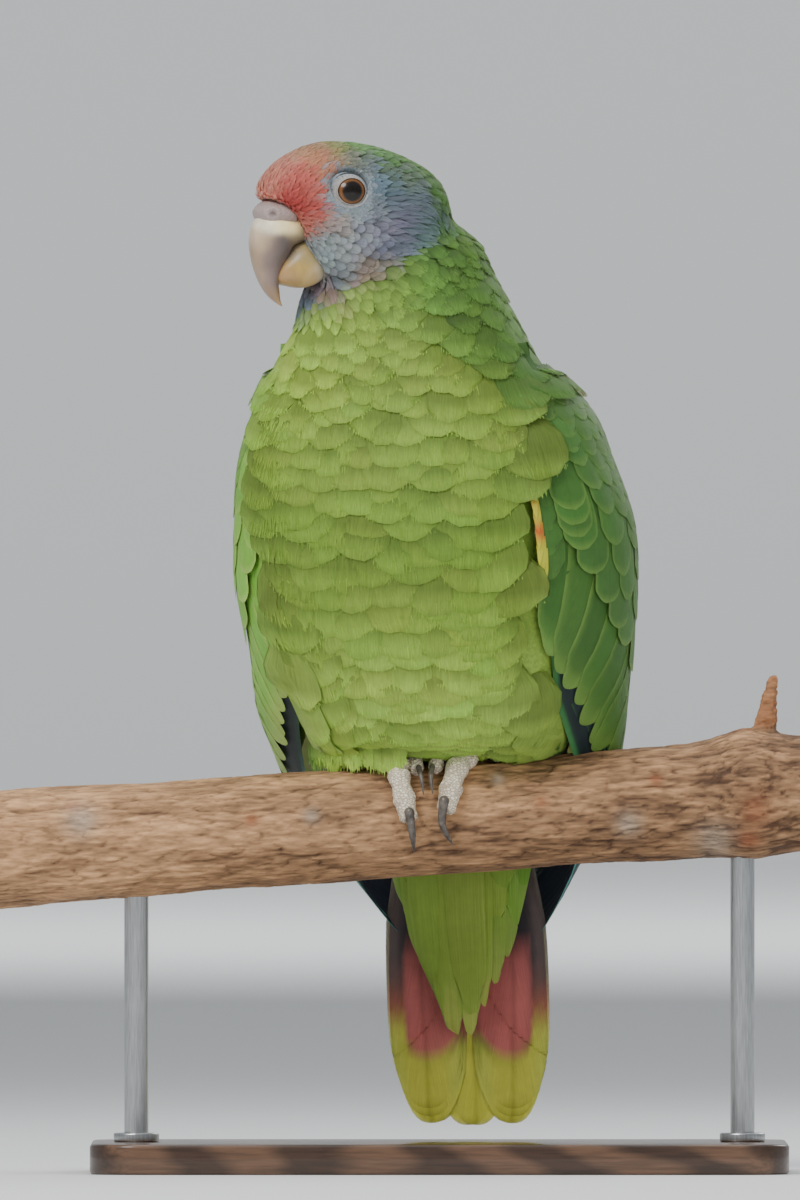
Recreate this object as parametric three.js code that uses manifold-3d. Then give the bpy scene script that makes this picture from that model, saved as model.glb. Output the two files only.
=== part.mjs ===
// A red-tailed amazon parrot, life size, gripping a cut length of branch on a plain display stand.
// Millimetres, +Z up. The origin is the centre of the underside of the base, and the bird looks towards -Y
// with its head turned to its right, towards -X.
import * as THREE from "three";
import { mergeVertices } from "three/addons/utils/BufferGeometryUtils.js";
import Module from "manifold-3d";

const wasm = await Module();
wasm.setup();

// Driving dimensions.
const GAP = 0.3; // clearance between neighbouring pieces
const PERCH_RADIUS = 18.7;
const PERCH_HEIGHT = 116.7; // axis of the branch above the floor, at the bird
const PERCH_SLOPE = THREE.MathUtils.degToRad(4); // rises towards +X
const BIRD_HEIGHT = PERCH_HEIGHT + PERCH_RADIUS; // the bird's own zero, the top of the branch
const BODY_TURN = THREE.MathUtils.degToRad(-13);
const HEAD_TURN = THREE.MathUtils.degToRad(-62); // on top of the body's turn
const HEAD_PLACE = new THREE.Vector3(-25.3, -22.3, 189);
const TORSO_TOP = 182;
const NECK_CUT = 131; // height of the parting between trunk and neck
const EYE = { radius: 6.2, forward: 4.7, side: 16.1 };
const BASE = { length: 230, depth: 124, thickness: 10, corner: 16, bevel: 1.2 };
const ROD = { radius: 4, spread: 100, sunk: 9 };
const BRANCH = { left: -148, right: 138, knotAt: 103, spurAt: 107.5 };

const COLOURS = {
  breast: 0x93ad38, neck: 0x86b23c, crown: 0x9c8f4e, wing: 0x4f8a34, quill: 0x25304a, tail: 0xa9a83a,
  vent: 0x8fae33, horn: 0xcdbd96, jaw: 0xb99c5f, cere: 0x9d9590, tongue: 0x5d4a48, iris: 0x5a2f12,
  foot: 0xb5ad9f, claw: 0x34363a, bark: 0x8f6a4c, timber: 0x4a3325, steel: 0x8e9194,
};

// ---- Making and cutting solids ----

// Smooth values between stations: each row is [position, value, value, ...], in rising position.
function stationCurve(rows) {
  const size = rows[0].length - 1;
  const positions = new Float32Array(rows.map((row) => row[0]));
  const values = new Float32Array(rows.flatMap((row) => row.slice(1)));
  const interpolant = new THREE.CubicInterpolant(positions, values, size, new Float32Array(size));
  return (position) => Array.from(interpolant.evaluate(position));
}

// A closed surface of rings from one pole to the other. place(along, around) gives the points, both 0 to 1.
function wrap(rings, sides, place) {
  const geometry = new THREE.SphereGeometry(1, sides, rings);
  const position = geometry.attributes.position;
  for (let i = 0; i < position.count; i++) {
    const ring = Math.floor(i / (sides + 1));
    const side = i % (sides + 1) % sides;
    const point = place(ring / rings, side / sides);
    position.setXYZ(i, point.x, point.y, point.z);
  }
  return geometry;
}

// How full a ring is near the ends of a body, so that both ends are round: 0 at a pole, 1 past the cap.
function roundEnds(along, cap) {
  const near = Math.min(along, 1 - along);
  return near >= cap ? 1 : Math.sqrt(Math.max(0, 1 - (1 - near / cap) ** 2));
}

// Rings crowd towards the poles, where the surface turns fastest.
function crowded(along) {
  return THREE.MathUtils.lerp(along, (1 - Math.cos(Math.PI * along)) / 2, 0.6);
}

// A body between two outlines in the plane of symmetry. Each row is [first a, first b, second a, second b,
// half width], and toPoint(across, a, b) turns the plane's a and b, and the distance across it, to a point.
function between(rows, toPoint, { rings = 16, sides = 16, cap = 0.1, grow = 0, fullness = 1 } = {}) {
  const curve = stationCurve(rows.map((row, i) => [i / (rows.length - 1), ...row]));
  return wrap(rings, sides, (along, around) => {
    const t = crowded(along);
    const [a1, b1, a2, b2, width] = curve(t);
    const fill = roundEnds(t, cap);
    const angle = around * 2 * Math.PI;
    const length = Math.hypot(a1 - a2, b1 - b2) / 2;
    const swing = Math.cos(angle) * (fill + (fill && grow / Math.max(length, 0.2)));
    const side = Math.sign(Math.sin(angle)) * Math.abs(Math.sin(angle)) ** fullness * (fill * width + (fill && grow));
    return toPoint(side, (a1 + a2) / 2 + (swing * (a1 - a2)) / 2, (b1 + b2) / 2 + (swing * (b1 - b2)) / 2);
  });
}

// A round limb along a curve, with its radius as a function of 0 to 1.
function limb(points, radiusAt, { rings = 10, sides = 10, cap = 0.12, grow = 0 } = {}) {
  const curve = new THREE.CatmullRomCurve3(points);
  const frames = curve.computeFrenetFrames(rings, false);
  return wrap(rings, sides, (along, around) => {
    const ring = Math.round(along * rings);
    const radius = (radiusAt(along) + grow) * roundEnds(along, cap);
    const angle = around * 2 * Math.PI;
    return curve
      .getPoint(along)
      .addScaledVector(frames.normals[ring], Math.cos(angle) * radius)
      .addScaledVector(frames.binormals[ring], Math.sin(angle) * radius);
  });
}

function solidOf(geometry, matrix) {
  const bare = geometry.clone().applyMatrix4(matrix);
  bare.deleteAttribute("normal");
  bare.deleteAttribute("uv");
  const merged = mergeVertices(bare, 1e-4);
  const triVerts = new Uint32Array(merged.index.array);
  const vertProperties = merged.attributes.position.array;
  const solid = new wasm.Manifold(new wasm.Mesh({ numProp: 3, vertProperties, triVerts }));
  if (solid.volume() > 0) return solid;
  for (let i = 0; i < triVerts.length; i += 3) {
    [triVerts[i + 1], triVerts[i + 2]] = [triVerts[i + 2], triVerts[i + 1]];
  }
  return new wasm.Manifold(new wasm.Mesh({ numProp: 3, vertProperties, triVerts }));
}

function geometryOf(solid) {
  const { numProp, vertProperties, triVerts } = solid.getMesh();
  const position = new Float32Array((vertProperties.length / numProp) * 3);
  for (let i = 0; i < position.length / 3; i++) {
    position.set(vertProperties.subarray(i * numProp, i * numProp + 3), i * 3);
  }
  const geometry = new THREE.BufferGeometry();
  geometry.setAttribute("position", new THREE.BufferAttribute(position, 3));
  geometry.setIndex(new THREE.BufferAttribute(triVerts, 1));
  geometry.computeVertexNormals();
  return geometry;
}

// The largest body of a solid, without the crumbs that a cut can leave.
function mainBody(solid) {
  return solid.decompose().reduce((best, body) => (body.volume() > best.volume() ? body : best));
}

// Where one mesh's own frame lies in another's.
function frameInFrame(mesh, target) {
  mesh.updateWorldMatrix(true, false);
  target.updateWorldMatrix(true, false);
  return target.matrixWorld.clone().invert().multiply(mesh.matrixWorld);
}

const NO_MOVE = new THREE.Matrix4();

// A named sub-part. make(grow) builds its geometry, grown outwards by that much, which others are cut with.
function piece(name, parent, colour, make, roughness = 0.8) {
  const material = new THREE.MeshStandardMaterial({ color: colour, roughness, metalness: 0 });
  const mesh = new THREE.Mesh(geometryOf(solidOf(make(0), NO_MOVE)), material);
  mesh.name = name;
  mesh.userData.cutter = () => solidOf(make(GAP), NO_MOVE);
  parent.add(mesh);
  return mesh;
}

function cutterIn(other, mesh) {
  return other.userData.cutter().transform(frameInFrame(other, mesh).toArray());
}

// Cuts the grown shapes of the others away from a mesh.
function carve(mesh, ...others) {
  let solid = solidOf(mesh.geometry, NO_MOVE);
  for (const other of others) solid = solid.subtract(cutterIn(other, mesh));
  mesh.geometry = geometryOf(mainBody(solid));
}

// A box that keeps the part of a body between two heights.
function slab(low, high) {
  const size = 600;
  return solidOf(
    new THREE.BoxGeometry(size, size, high - low),
    new THREE.Matrix4().makeTranslation(0, 0, (low + high) / 2),
  );
}

// ---- Frames ----

const model = new THREE.Group();
const perch = new THREE.Group();
perch.position.z = PERCH_HEIGHT;
perch.rotation.y = -PERCH_SLOPE;
const bird = new THREE.Group();
bird.position.z = BIRD_HEIGHT;
bird.rotation.z = BODY_TURN;
const skull = new THREE.Group();
skull.position.copy(HEAD_PLACE);
skull.rotation.z = HEAD_TURN;
bird.add(skull);
model.add(perch, bird);

// ---- Stand and perch ----

function baseGeometry(grow) {
  const { length, depth, thickness, corner, bevel } = BASE;
  const [x, y] = [length / 2 - bevel + grow, depth / 2 - bevel + grow];
  const outline = new THREE.Shape()
    .moveTo(x, -y + corner)
    .lineTo(x, y - corner)
    .absarc(x - corner, y - corner, corner, 0, Math.PI / 2)
    .absarc(-x + corner, y - corner, corner, Math.PI / 2, Math.PI)
    .absarc(-x + corner, -y + corner, corner, Math.PI, Math.PI * 1.5)
    .absarc(x - corner, -y + corner, corner, Math.PI * 1.5, Math.PI * 2);
  const options = { depth: thickness - 2 * bevel, bevelSize: bevel, bevelThickness: bevel, bevelSegments: 1 };
  return new THREE.ExtrudeGeometry(outline, { ...options, curveSegments: 3 }).translate(0, 0, bevel);
}
const base = piece("stand_base", model, COLOURS.timber, baseGeometry, 0.5);

const rods = ["left", "right"].map((side) => {
  const x = side === "left" ? -ROD.spread : ROD.spread;
  const surface = PERCH_HEIGHT + x * Math.tan(PERCH_SLOPE) - PERCH_RADIUS;
  const length = surface + ROD.sunk - BASE.thickness;
  const make = (grow) => new THREE.CylinderGeometry(ROD.radius + grow, ROD.radius + grow, length, 16);
  const rod = piece("stand_rod_" + side, model, COLOURS.steel, make, 0.3);
  rod.rotation.x = Math.PI / 2;
  rod.position.set(x, 0, BASE.thickness + length / 2);
  return rod;
});

// Radius of the branch at a place along it and an angle round it, with its swellings.
function branchRadius(x, angle) {
  const taper = PERCH_RADIUS + 0.9 * (x / 148) ** 2;
  const ripple = 0.25 * Math.sin(x / 17 + 2 * angle) + 0.2 * Math.sin(x / 9 - 3 * angle + 1);
  const knot = 2.6 * Math.exp(-(((x - BRANCH.knotAt) / 11) ** 2)) * (1 + 0.5 * Math.cos(angle - 2.2));
  return taper + ripple * Math.min(1, Math.abs(x) / 40) + knot;
}

function branchGeometry(grow) {
  const rings = 20;
  return wrap(rings, 14, (along, around) => {
    const inner = THREE.MathUtils.clamp((along * rings - 1) / (rings - 2), 0, 1);
    const x = THREE.MathUtils.lerp(BRANCH.left - grow, BRANCH.right + grow, inner);
    const angle = around * 2 * Math.PI;
    const radius = along === 0 || along === 1 ? 0 : branchRadius(x, angle) + grow;
    return new THREE.Vector3(x, Math.cos(angle) * radius, Math.sin(angle) * radius);
  });
}

// The broken stump of a side twig.
function spurGeometry(grow) {
  const points = [[0, 0, 12], [1, 0, 21], [3.5, -0.5, 30], [6, -1, 40]];
  return limb(
    points.map(([x, y, z]) => new THREE.Vector3(BRANCH.spurAt + x, y, z)),
    (t) => THREE.MathUtils.lerp(6.4, 1.6, t ** 0.8),
    { rings: 6, sides: 8, cap: 0.06, grow },
  );
}

const branch = piece("branch", perch, COLOURS.bark, branchGeometry, 0.9);
branch.geometry = geometryOf(solidOf(branch.geometry, NO_MOVE).add(solidOf(spurGeometry(0), NO_MOVE)));
carve(branch, ...rods);

// ---- Head ----

// In the skull's frame the bird looks along -Y, with its own left side at +X and the eyes at height 0.
const skullPoint = (across, forward, up) => new THREE.Vector3(across, -forward, up);

// Crown and throat lines of the head: [forward, up, forward, up, half width].
const HEAD_ROWS = [
  [-35, -6, -33, -14, 10], [-30, 4, -31, -20, 15.5], [-21, 10, -24, -27, 19.5], [-11, 14.2, -14, -31.5, 21.8],
  [-1, 16.1, -3, -34, 22.6], [8, 16.6, 6, -34, 22], [15, 15.2, 12.5, -31, 20.2], [21.5, 12.2, 17.5, -21, 17.6],
  [27, 8.2, 21.5, -11.5, 14.6], [31.5, 2.6, 25.5, -8.4, 11.4], [34, -3, 29.5, -7.2, 7],
];
const headGeometry = (grow) => between(HEAD_ROWS, skullPoint, { rings: 14, sides: 16, cap: 0.12, grow });
const head = piece("head", skull, COLOURS.crown, headGeometry, 0.85);

// Ridge and cutting edge of the upper bill.
const UPPER_BILL_ROWS = [
  [13, -8.5, 11.5, -15.8, 7], [22, -7.6, 17, -17.8, 8.3], [28.8, -7.4, 20.8, -18.3, 8.7],
  [32.6, -11.4, 22.8, -19.4, 8.2], [33.9, -17, 24.3, -21.6, 7.2], [33.3, -23, 24.5, -25.4, 6.1],
  [31.7, -28.6, 24.3, -29.4, 4.8], [29.4, -33.3, 24, -33.6, 3.4], [26.6, -36.6, 23.6, -36.8, 1.9], [23.4, -38.8, 22.8, -39, 0.6],
];
const upperBillGeometry = (grow) =>
  between(UPPER_BILL_ROWS, skullPoint, { rings: 12, sides: 10, cap: 0.03, grow, fullness: 0.8 });
const upperBill = piece("bill_upper", skull, COLOURS.horn, upperBillGeometry, 0.4);

const LOWER_BILL_ROWS = [
  [6.5, -17.5, 7.5, -27, 6], [9, -16.4, 10, -30.4, 7.8], [13, -16.8, 14, -32.4, 8.5], [17, -19, 18, -32.6, 8.1],
  [20, -22.4, 21, -31.9, 6.6], [22.3, -26, 23.4, -31, 4.4], [23.4, -28.6, 24.4, -30.2, 2],
];
const lowerBillGeometry = (grow) =>
  between(LOWER_BILL_ROWS, skullPoint, { rings: 8, sides: 10, cap: 0.08, grow, fullness: 0.85 });
const lowerBill = piece("bill_lower", skull, COLOURS.jaw, lowerBillGeometry, 0.45);

const TONGUE_ROWS = [[12, -17, 13, -21, 3.6], [17, -17.8, 17.4, -21.6, 3.6], [22, -20.6, 21, -24, 3], [24.4, -23.4, 23.4, -24.8, 1.6]];
const tongueGeometry = (grow) => between(TONGUE_ROWS, skullPoint, { rings: 6, sides: 8, cap: 0.2, grow });
const tongue = piece("tongue", skull, COLOURS.tongue, tongueGeometry, 0.5);

// The fleshy band over the root of the bill, which holds the nostrils.
const CERE_ROWS = [
  [19.5, -4, 18, -12.4, 9.6], [24, -3.2, 21.5, -12.6, 9.9], [28.6, -3.6, 26, -12.2, 9], [31.2, -5.4, 29.2, -11.4, 7.4],
  [32.8, -7.6, 31.2, -10.8, 4.6],
];
function cereGeometry(grow) {
  const band = solidOf(between(CERE_ROWS, skullPoint, { rings: 7, sides: 10, cap: 0.14, grow }), NO_MOVE);
  if (grow) return geometryOf(band);
  const hole = new THREE.CylinderGeometry(1.1, 0.7, 5, 8);
  return [-1, 1].reduce((geometry, side) => {
    const place = new THREE.Matrix4()
      .makeTranslation(side * 7.6, -28.8, -7.4)
      .multiply(new THREE.Matrix4().makeRotationZ(-side * 0.9));
    return geometryOf(solidOf(geometry, NO_MOVE).subtract(solidOf(hole, place)));
  }, geometryOf(band));
}
const cere = piece("cere", skull, COLOURS.cere, cereGeometry, 0.6);

const eyes = ["left", "right"].map((side) => {
  const make = (grow) => new THREE.SphereGeometry(EYE.radius + grow, 12, 7);
  const eye = piece("eye_" + side, skull, COLOURS.iris, make, 0.1);
  eye.position.set(side === "left" ? EYE.side : -EYE.side, -EYE.forward, 0);
  return eye;
});

carve(lowerBill, upperBill);
carve(tongue, upperBill, lowerBill);
carve(cere, upperBill);
carve(head, upperBill, lowerBill, cere, tongue, ...eyes);

// ---- Trunk and neck ----

// The torso is one body from the vent to inside the head, parted at the neck. Each row is
// [height, sideways shift, half width, front, back].
const TORSO_ROWS = [
  [-14, 0, 16, 22, 36], [-6, 0, 29, 6, 39], [4, 0, 41, -26, 41], [18, 0, 48, -37, 42], [36, 0, 53, -45, 41.5],
  [58, -0.5, 57, -49.5, 40], [80, -1, 58.5, -50.5, 37.5], [100, -3, 56, -48.5, 33.5], [116, -5.5, 51.5, -45, 29],
  [128, -8.2, 46.8, -43, 25], [140, -8, 40, -41, 19.5], [152, -9, 35.5, -38.5, 14.5], [163, -9.8, 30.6, -34, 9],
  [173, -9, 26, -27, 5], [TORSO_TOP, -8, 17, -20, 1],
];
const torsoAt = stationCurve(TORSO_ROWS);

function torsoGeometry(grow) {
  const [bottom, top] = [TORSO_ROWS[0][0], TORSO_TOP];
  const flatness = 0.87;
  return wrap(19, 20, (along, around) => {
    const t = crowded(along);
    const height = THREE.MathUtils.lerp(bottom - grow, top + grow, t);
    const [shift, width, front, back] = torsoAt(height);
    const fill = roundEnds(t, 0.05);
    const angle = around * 2 * Math.PI;
    const [across, deep] = [Math.cos(angle), Math.sin(angle)];
    const reach = (back - front) / 2;
    const extra = fill && grow;
    return new THREE.Vector3(
      shift + Math.sign(across) * Math.abs(across) ** flatness * (width * fill + extra),
      (front + back) / 2 + Math.sign(deep) * Math.abs(deep) ** flatness * (reach * fill + extra),
      height,
    );
  });
}

function torsoPiece(name, colour, low, high) {
  const mesh = piece(name, bird, colour, torsoGeometry);
  mesh.geometry = geometryOf(solidOf(mesh.geometry, NO_MOVE).intersect(slab(low, high)));
  mesh.userData.cutter = () => solidOf(torsoGeometry(GAP), NO_MOVE);
  return mesh;
}
const trunk = torsoPiece("trunk", COLOURS.breast, -100, NECK_CUT - GAP / 2);
const neck = torsoPiece("neck", COLOURS.neck, NECK_CUT + GAP / 2, TORSO_TOP + 10);
carve(neck, head, upperBill, lowerBill);

// ---- Tail ----

const TAIL = { rootHeight: 8, rootDepth: 33, tipDepth: 54, featherWidth: 11.5, thickness: 1.7, layer: 0.75, bow: 4 };
// From the middle pair to the outermost: how far out the roots and the tips lie, and the tips' heights.
const TAIL_FEATHERS = [
  { root: 1.8, tip: 2.6, tipHeight: -119.8 }, { root: 3.4, tip: 6.6, tipHeight: -119.4 },
  { root: 5, tip: 9, tipHeight: -119.6 }, { root: 6.4, tip: 10.8, tipHeight: -119.8 },
  { root: 7.8, tip: 11.8, tipHeight: -118.6 }, { root: 9, tip: 12.2, tipHeight: -112.5 },
];

// One long flat feather with a ridge along its shaft. Its vanes widen from the root and round off at the tip.
function bladeGeometry(root, tip, bow, halfWidth, thickness, grow) {
  return wrap(5, 4, (along, around) => {
    const t = 1 - (1 - along) ** 1.9;
    const middle = new THREE.Vector3().lerpVectors(root, tip, t);
    middle.x += bow * Math.sin(Math.PI * t);
    const spread = 0.45 + 0.55 * Math.min(1, t / 0.55);
    const roundTip = Math.sqrt(Math.max(0, 1 - Math.max(0, (t - 0.87) / 0.13) ** 2));
    const angle = around * 2 * Math.PI;
    const fill = t === 0 || t === 1 ? 0 : 1;
    middle.x += Math.cos(angle) * (halfWidth * spread * roundTip + grow) * fill;
    middle.y += Math.sin(angle) * (thickness / 2 + grow) * fill;
    return middle;
  });
}

function tailGeometry(grow) {
  const blades = TAIL_FEATHERS.flatMap((feather, i) =>
    [-1, 1].map((side) => {
      const inFront = i * TAIL.layer; // the middle pair lies at the back, the outer feathers in front of it
      const root = new THREE.Vector3(side * feather.root, TAIL.rootDepth - inFront, TAIL.rootHeight);
      const tip = new THREE.Vector3(side * feather.tip, TAIL.tipDepth - inFront, feather.tipHeight);
      const bow = side * TAIL.bow * (i / 5);
      return solidOf(bladeGeometry(root, tip, bow, TAIL.featherWidth, TAIL.thickness, grow), NO_MOVE);
    }),
  );
  return geometryOf(blades.reduce((sum, blade) => sum.add(blade)));
}
const tail = piece("tail", bird, COLOURS.tail, tailGeometry, 0.6);
tail.userData.cutter = () => solidOf(tailGeometry(GAP), NO_MOVE).hull();

// Coverts under the tail, a wedge that narrows to a point in front of it. Rows: [front depth, height, back
// depth, height, half width].
const bodyPoint = (across, deep, up) => new THREE.Vector3(across, deep, up);
const UNDER_COVERT_ROWS = [
  [24, 2, 31, 6, 25], [23.5, -16, 33, -14, 27], [24.5, -34, 36, -34, 26], [28, -48, 38, -48, 22], [32, -59, 39.6, -59, 18.4],
  [35.8, -70, 41, -70, 13.6], [39.4, -82, 42.6, -82, 8.4], [42, -92.5, 43.6, -92.5, 6],
];
const underCovertGeometry = (grow) =>
  between(UNDER_COVERT_ROWS, bodyPoint, { rings: 9, sides: 10, cap: 0.06, grow, fullness: 0.7 });
const underCoverts = piece("tail_coverts_under", bird, COLOURS.vent, underCovertGeometry);

const UPPER_COVERT_ROWS = [[34, 14, 43, 14, 16], [37, 0, 46, 0, 19], [42, -18, 48.4, -18, 18], [46, -36, 51, -36, 13], [49.5, -48, 52.4, -48, 7]];
const upperCovertGeometry = (grow) =>
  between(UPPER_COVERT_ROWS, bodyPoint, { rings: 7, sides: 10, cap: 0.08, grow, fullness: 0.8 });
const upperCoverts = piece("tail_coverts_upper", bird, COLOURS.wing, upperCovertGeometry);

// ---- Wings ----

// The closed wings lie on a mantle round the body: [height, sideways shift, half width, middle, front, back],
// the last two measured from the middle. The heights rise from the wing tips to the shoulders.
const MANTLE_ROWS = [
  [-64, 0.5, 23.5, 40, 8, 15], [-50, 0.5, 32.5, 38, 10, 16], [-39, 0, 40, 35, 12, 18], [-25, -0.5, 48, 31, 16, 21],
  [-10, -1.5, 56.4, 26, 22, 24], [4, -1.5, 61, 18, 30, 30], [18, -1.5, 64.4, 10, 36, 37], [36, 0, 66.2, 2, 44, 45],
  [58, -0.5, 68.5, -3, 46.5, 49.5], [80, -0.8, 67.8, -5, 46, 49], [100, -3.2, 63.6, -6, 42, 44],
  [116, -4, 57.8, -7, 36, 37], [132, -8, 46.6, -7, 29, 30],
];
const mantleAt = stationCurve(MANTLE_ROWS);

// A sheet on the mantle from one edge to the other. Each edge row is [height, front angle, back angle,
// thickness, depth under the mantle], angles in degrees from straight out sideways, rising towards the back.
function mantleSheet(rows, side, { rings = 18, sides = 20, grow = 0 } = {}) {
  const edgeAt = stationCurve(rows);
  const [low, high] = [rows[0][0], rows[rows.length - 1][0]];
  return wrap(rings, sides, (along, around) => {
    const height = THREE.MathUtils.lerp(low, high, crowded(along)) + grow * (along === 1) - grow * (along === 0);
    const [front, back, thickness, inset] = edgeAt(THREE.MathUtils.clamp(height, low, high));
    const [shift, halfWidth, middle, frontDepth, backDepth] = mantleAt(height);
    const onOuter = around < 0.5;
    const across = onOuter ? around * 2 : 2 - around * 2;
    const pole = along === 0 || along === 1;
    const share = pole ? 0.5 : across;
    const margin = (grow / halfWidth) * ((share === 1) - (share === 0));
    const angle = THREE.MathUtils.degToRad(THREE.MathUtils.lerp(front, back, share)) + margin;
    const bulge = Math.sin(Math.PI * THREE.MathUtils.clamp(across, 0, 1)) ** 0.5;
    const depth = pole ? inset + thickness / 2 : onOuter ? inset - grow : inset + thickness * (0.25 + 0.75 * bulge) + grow;
    const reach = Math.sin(angle) < 0 ? frontDepth : backDepth;
    return new THREE.Vector3(
      shift + side * Math.cos(angle) * (halfWidth - depth),
      middle + Math.sin(angle) * (reach - depth),
      height,
    );
  });
}

const ARM_ROWS = [
  [-22, 56, 74, 1.5, 0], [-14, 28, 84, 2.4, 0], [-4, -6, 87, 3.4, 0], [8, -29, 88, 4.6, 0], [22, -40, 87, 6, 0],
  [36, -46, 85, 7.2, 0], [58, -49, 81, 9, 0], [80, -50, 75, 10, 0], [100, -47, 68, 9.4, 0], [116, -40, 60, 8, 0],
  [125, -28, 46, 6, 0], [131, -8, 26, 3.4, 0],
];
const QUILL_ROWS = [
  [-64, 20, 50, 1.2, 0], [-58, 4, 62, 2, 0], [-46, -6, 70, 2.4, 0], [-32, -12, 76, 3, 0.2], [-18, -18, 80, 3.4, 1],
  [-4, -32, 84, 3.4, 2], [10, -42, 84, 3.2, 2.4], [24, -46, 80, 2.4, 2.8], [34, -46, 60, 1.4, 3.2],
];
const wings = ["left", "right"].map((side) => {
  const sign = side === "left" ? 1 : -1;
  const armGeometry = (grow) => mantleSheet(ARM_ROWS, sign, { rings: 15, sides: 14, grow });
  const quillGeometry = (grow) => mantleSheet(QUILL_ROWS, sign, { rings: 11, sides: 10, grow });
  const arm = piece("wing_" + side, bird, COLOURS.wing, armGeometry, 0.6);
  const quills = piece("wing_quills_" + side, bird, COLOURS.quill, quillGeometry, 0.5);
  return { arm, quills };
});

// ---- Legs, toes and claws ----

// A place on the branch: x along it, the angle from its top towards the front, and the height off its bark.
function onBranch(x, degrees, lift) {
  const angle = THREE.MathUtils.degToRad(degrees);
  const reach = PERCH_RADIUS + lift;
  return new THREE.Vector3(x, -reach * Math.sin(angle), reach * Math.cos(angle));
}

const FOOT = { padX: 10.5, toeRadius: 3.5, shankRadius: 3.3 };
// Each toe is [x, angle] where it leaves the foot, midway and at its end, then its claw's bend and tip, then its
// thickness as a share of the longest toe's.
const TOES = {
  right: [
    { digit: 3, path: [[-13.6, 12], [-12.6, 45], [-11, 76]], claw: [[-9.9, 80], [-9.4, 100], [-9, 122]], size: 1.08 },
    { digit: 2, path: [[-7.4, 10], [-6.6, 22], [-6, 33]], claw: [[-5.6, 36], [-5, 50], [-4.6, 62]], size: 0.72 },
    { digit: 4, path: [[-14.6, -18], [-17, -48], [-19, -78]], claw: [[-19.4, -84], [-20.2, -104], [-20.6, -122]], size: 1 },
    { digit: 1, path: [[-8.6, -16], [-7, -34], [-5.6, -52]], claw: [[-5.2, -56], [-4.6, -72], [-4.2, -86]], size: 0.75 },
  ],
  left: [
    { digit: 3, path: [[13.6, 10], [7.6, 42], [3, 73]], claw: [[1.3, 74], [0.6, 95], [3.6, 117]], size: 1.08 },
    { digit: 2, path: [[2.6, 8], [0.4, 22], [-1, 33]], claw: [[-1.5, 36], [-1.9, 50], [-1.4, 62]], size: 0.72 },
    { digit: 4, path: [[15, -18], [17, -48], [19, -78]], claw: [[19.4, -84], [20.2, -104], [20.6, -122]], size: 1 },
    { digit: 1, path: [[8.6, -16], [7, -34], [5.6, -52]], claw: [[5.2, -56], [4.6, -72], [4.2, -86]], size: 0.75 },
  ],
};

// A shank runs up and back from the foot's pad, into the belly feathers.
function shankGeometry(x) {
  const points = [onBranch(x, 10, 2.6), onBranch(x, -14, 3.4), onBranch(x, -42, 10), onBranch(x * 1.06, -50, 19)];
  return (grow) =>
    limb(points, (t) => FOOT.shankRadius + 1.6 * Math.max(0, 1 - t / 0.4), { rings: 5, sides: 7, cap: 0.16, grow });
}

function toeGeometry({ path, size }) {
  const radius = FOOT.toeRadius * size;
  const joints = path.length;
  const points = path.map(([x, angle]) => onBranch(x, angle, radius - 0.4));
  const bulge = (t) => radius * (0.94 + 0.1 * Math.cos(2 * Math.PI * joints * t)) * (1 - 0.12 * t);
  return (grow) => limb(points, bulge, { rings: 7, sides: 6, cap: 0.16, grow });
}

function clawGeometry({ claw, size }) {
  const lifts = [FOOT.toeRadius * size * 0.9, FOOT.toeRadius * size * 1.15, 0.9];
  const points = claw.map(([x, angle], i) => onBranch(x, angle, lifts[i]));
  return (grow) => limb(points, (t) => 2 * size * (1 - t) ** 0.7 + 0.25, { rings: 5, sides: 5, cap: 0.04, grow });
}

const legs = Object.entries(TOES).map(([side, toes]) => {
  const x = side === "left" ? FOOT.padX : -FOOT.padX;
  const shank = piece("shank_" + side, perch, COLOURS.foot, shankGeometry(x));
  carve(shank, branch);
  const digits = toes.map((toe) => {
    const flesh = piece(`toe_${side}_${toe.digit}`, perch, COLOURS.foot, toeGeometry(toe));
    const claw = piece(`claw_${side}_${toe.digit}`, perch, COLOURS.claw, clawGeometry(toe), 0.35);
    carve(flesh, shank, branch);
    carve(claw, flesh, branch);
    return { flesh, claw };
  });
  digits.forEach(({ flesh }, i) => carve(flesh, ...digits.slice(0, i).flatMap((d) => [d.flesh, d.claw])));
  return [shank, ...digits.flatMap(({ flesh, claw }) => [flesh, claw])];
});

// ---- Fitting the feathered parts to each other ----

for (const { arm, quills } of wings) {
  carve(arm, trunk, branch);
  carve(quills, trunk, arm, branch, tail, upperCoverts, underCoverts);
}
carve(wings[0].quills, wings[1].quills);
carve(upperCoverts, trunk, tail, wings[0].arm, wings[1].arm);
carve(underCoverts, trunk, tail, branch, ...legs.flat());
carve(tail, trunk);
carve(trunk, branch, ...legs.flat());

export default model;
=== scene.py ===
import math

import bmesh
import bpy
import numpy as np
from mathutils import Matrix, Vector, noise
from mathutils.bvhtree import BVHTree


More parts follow.
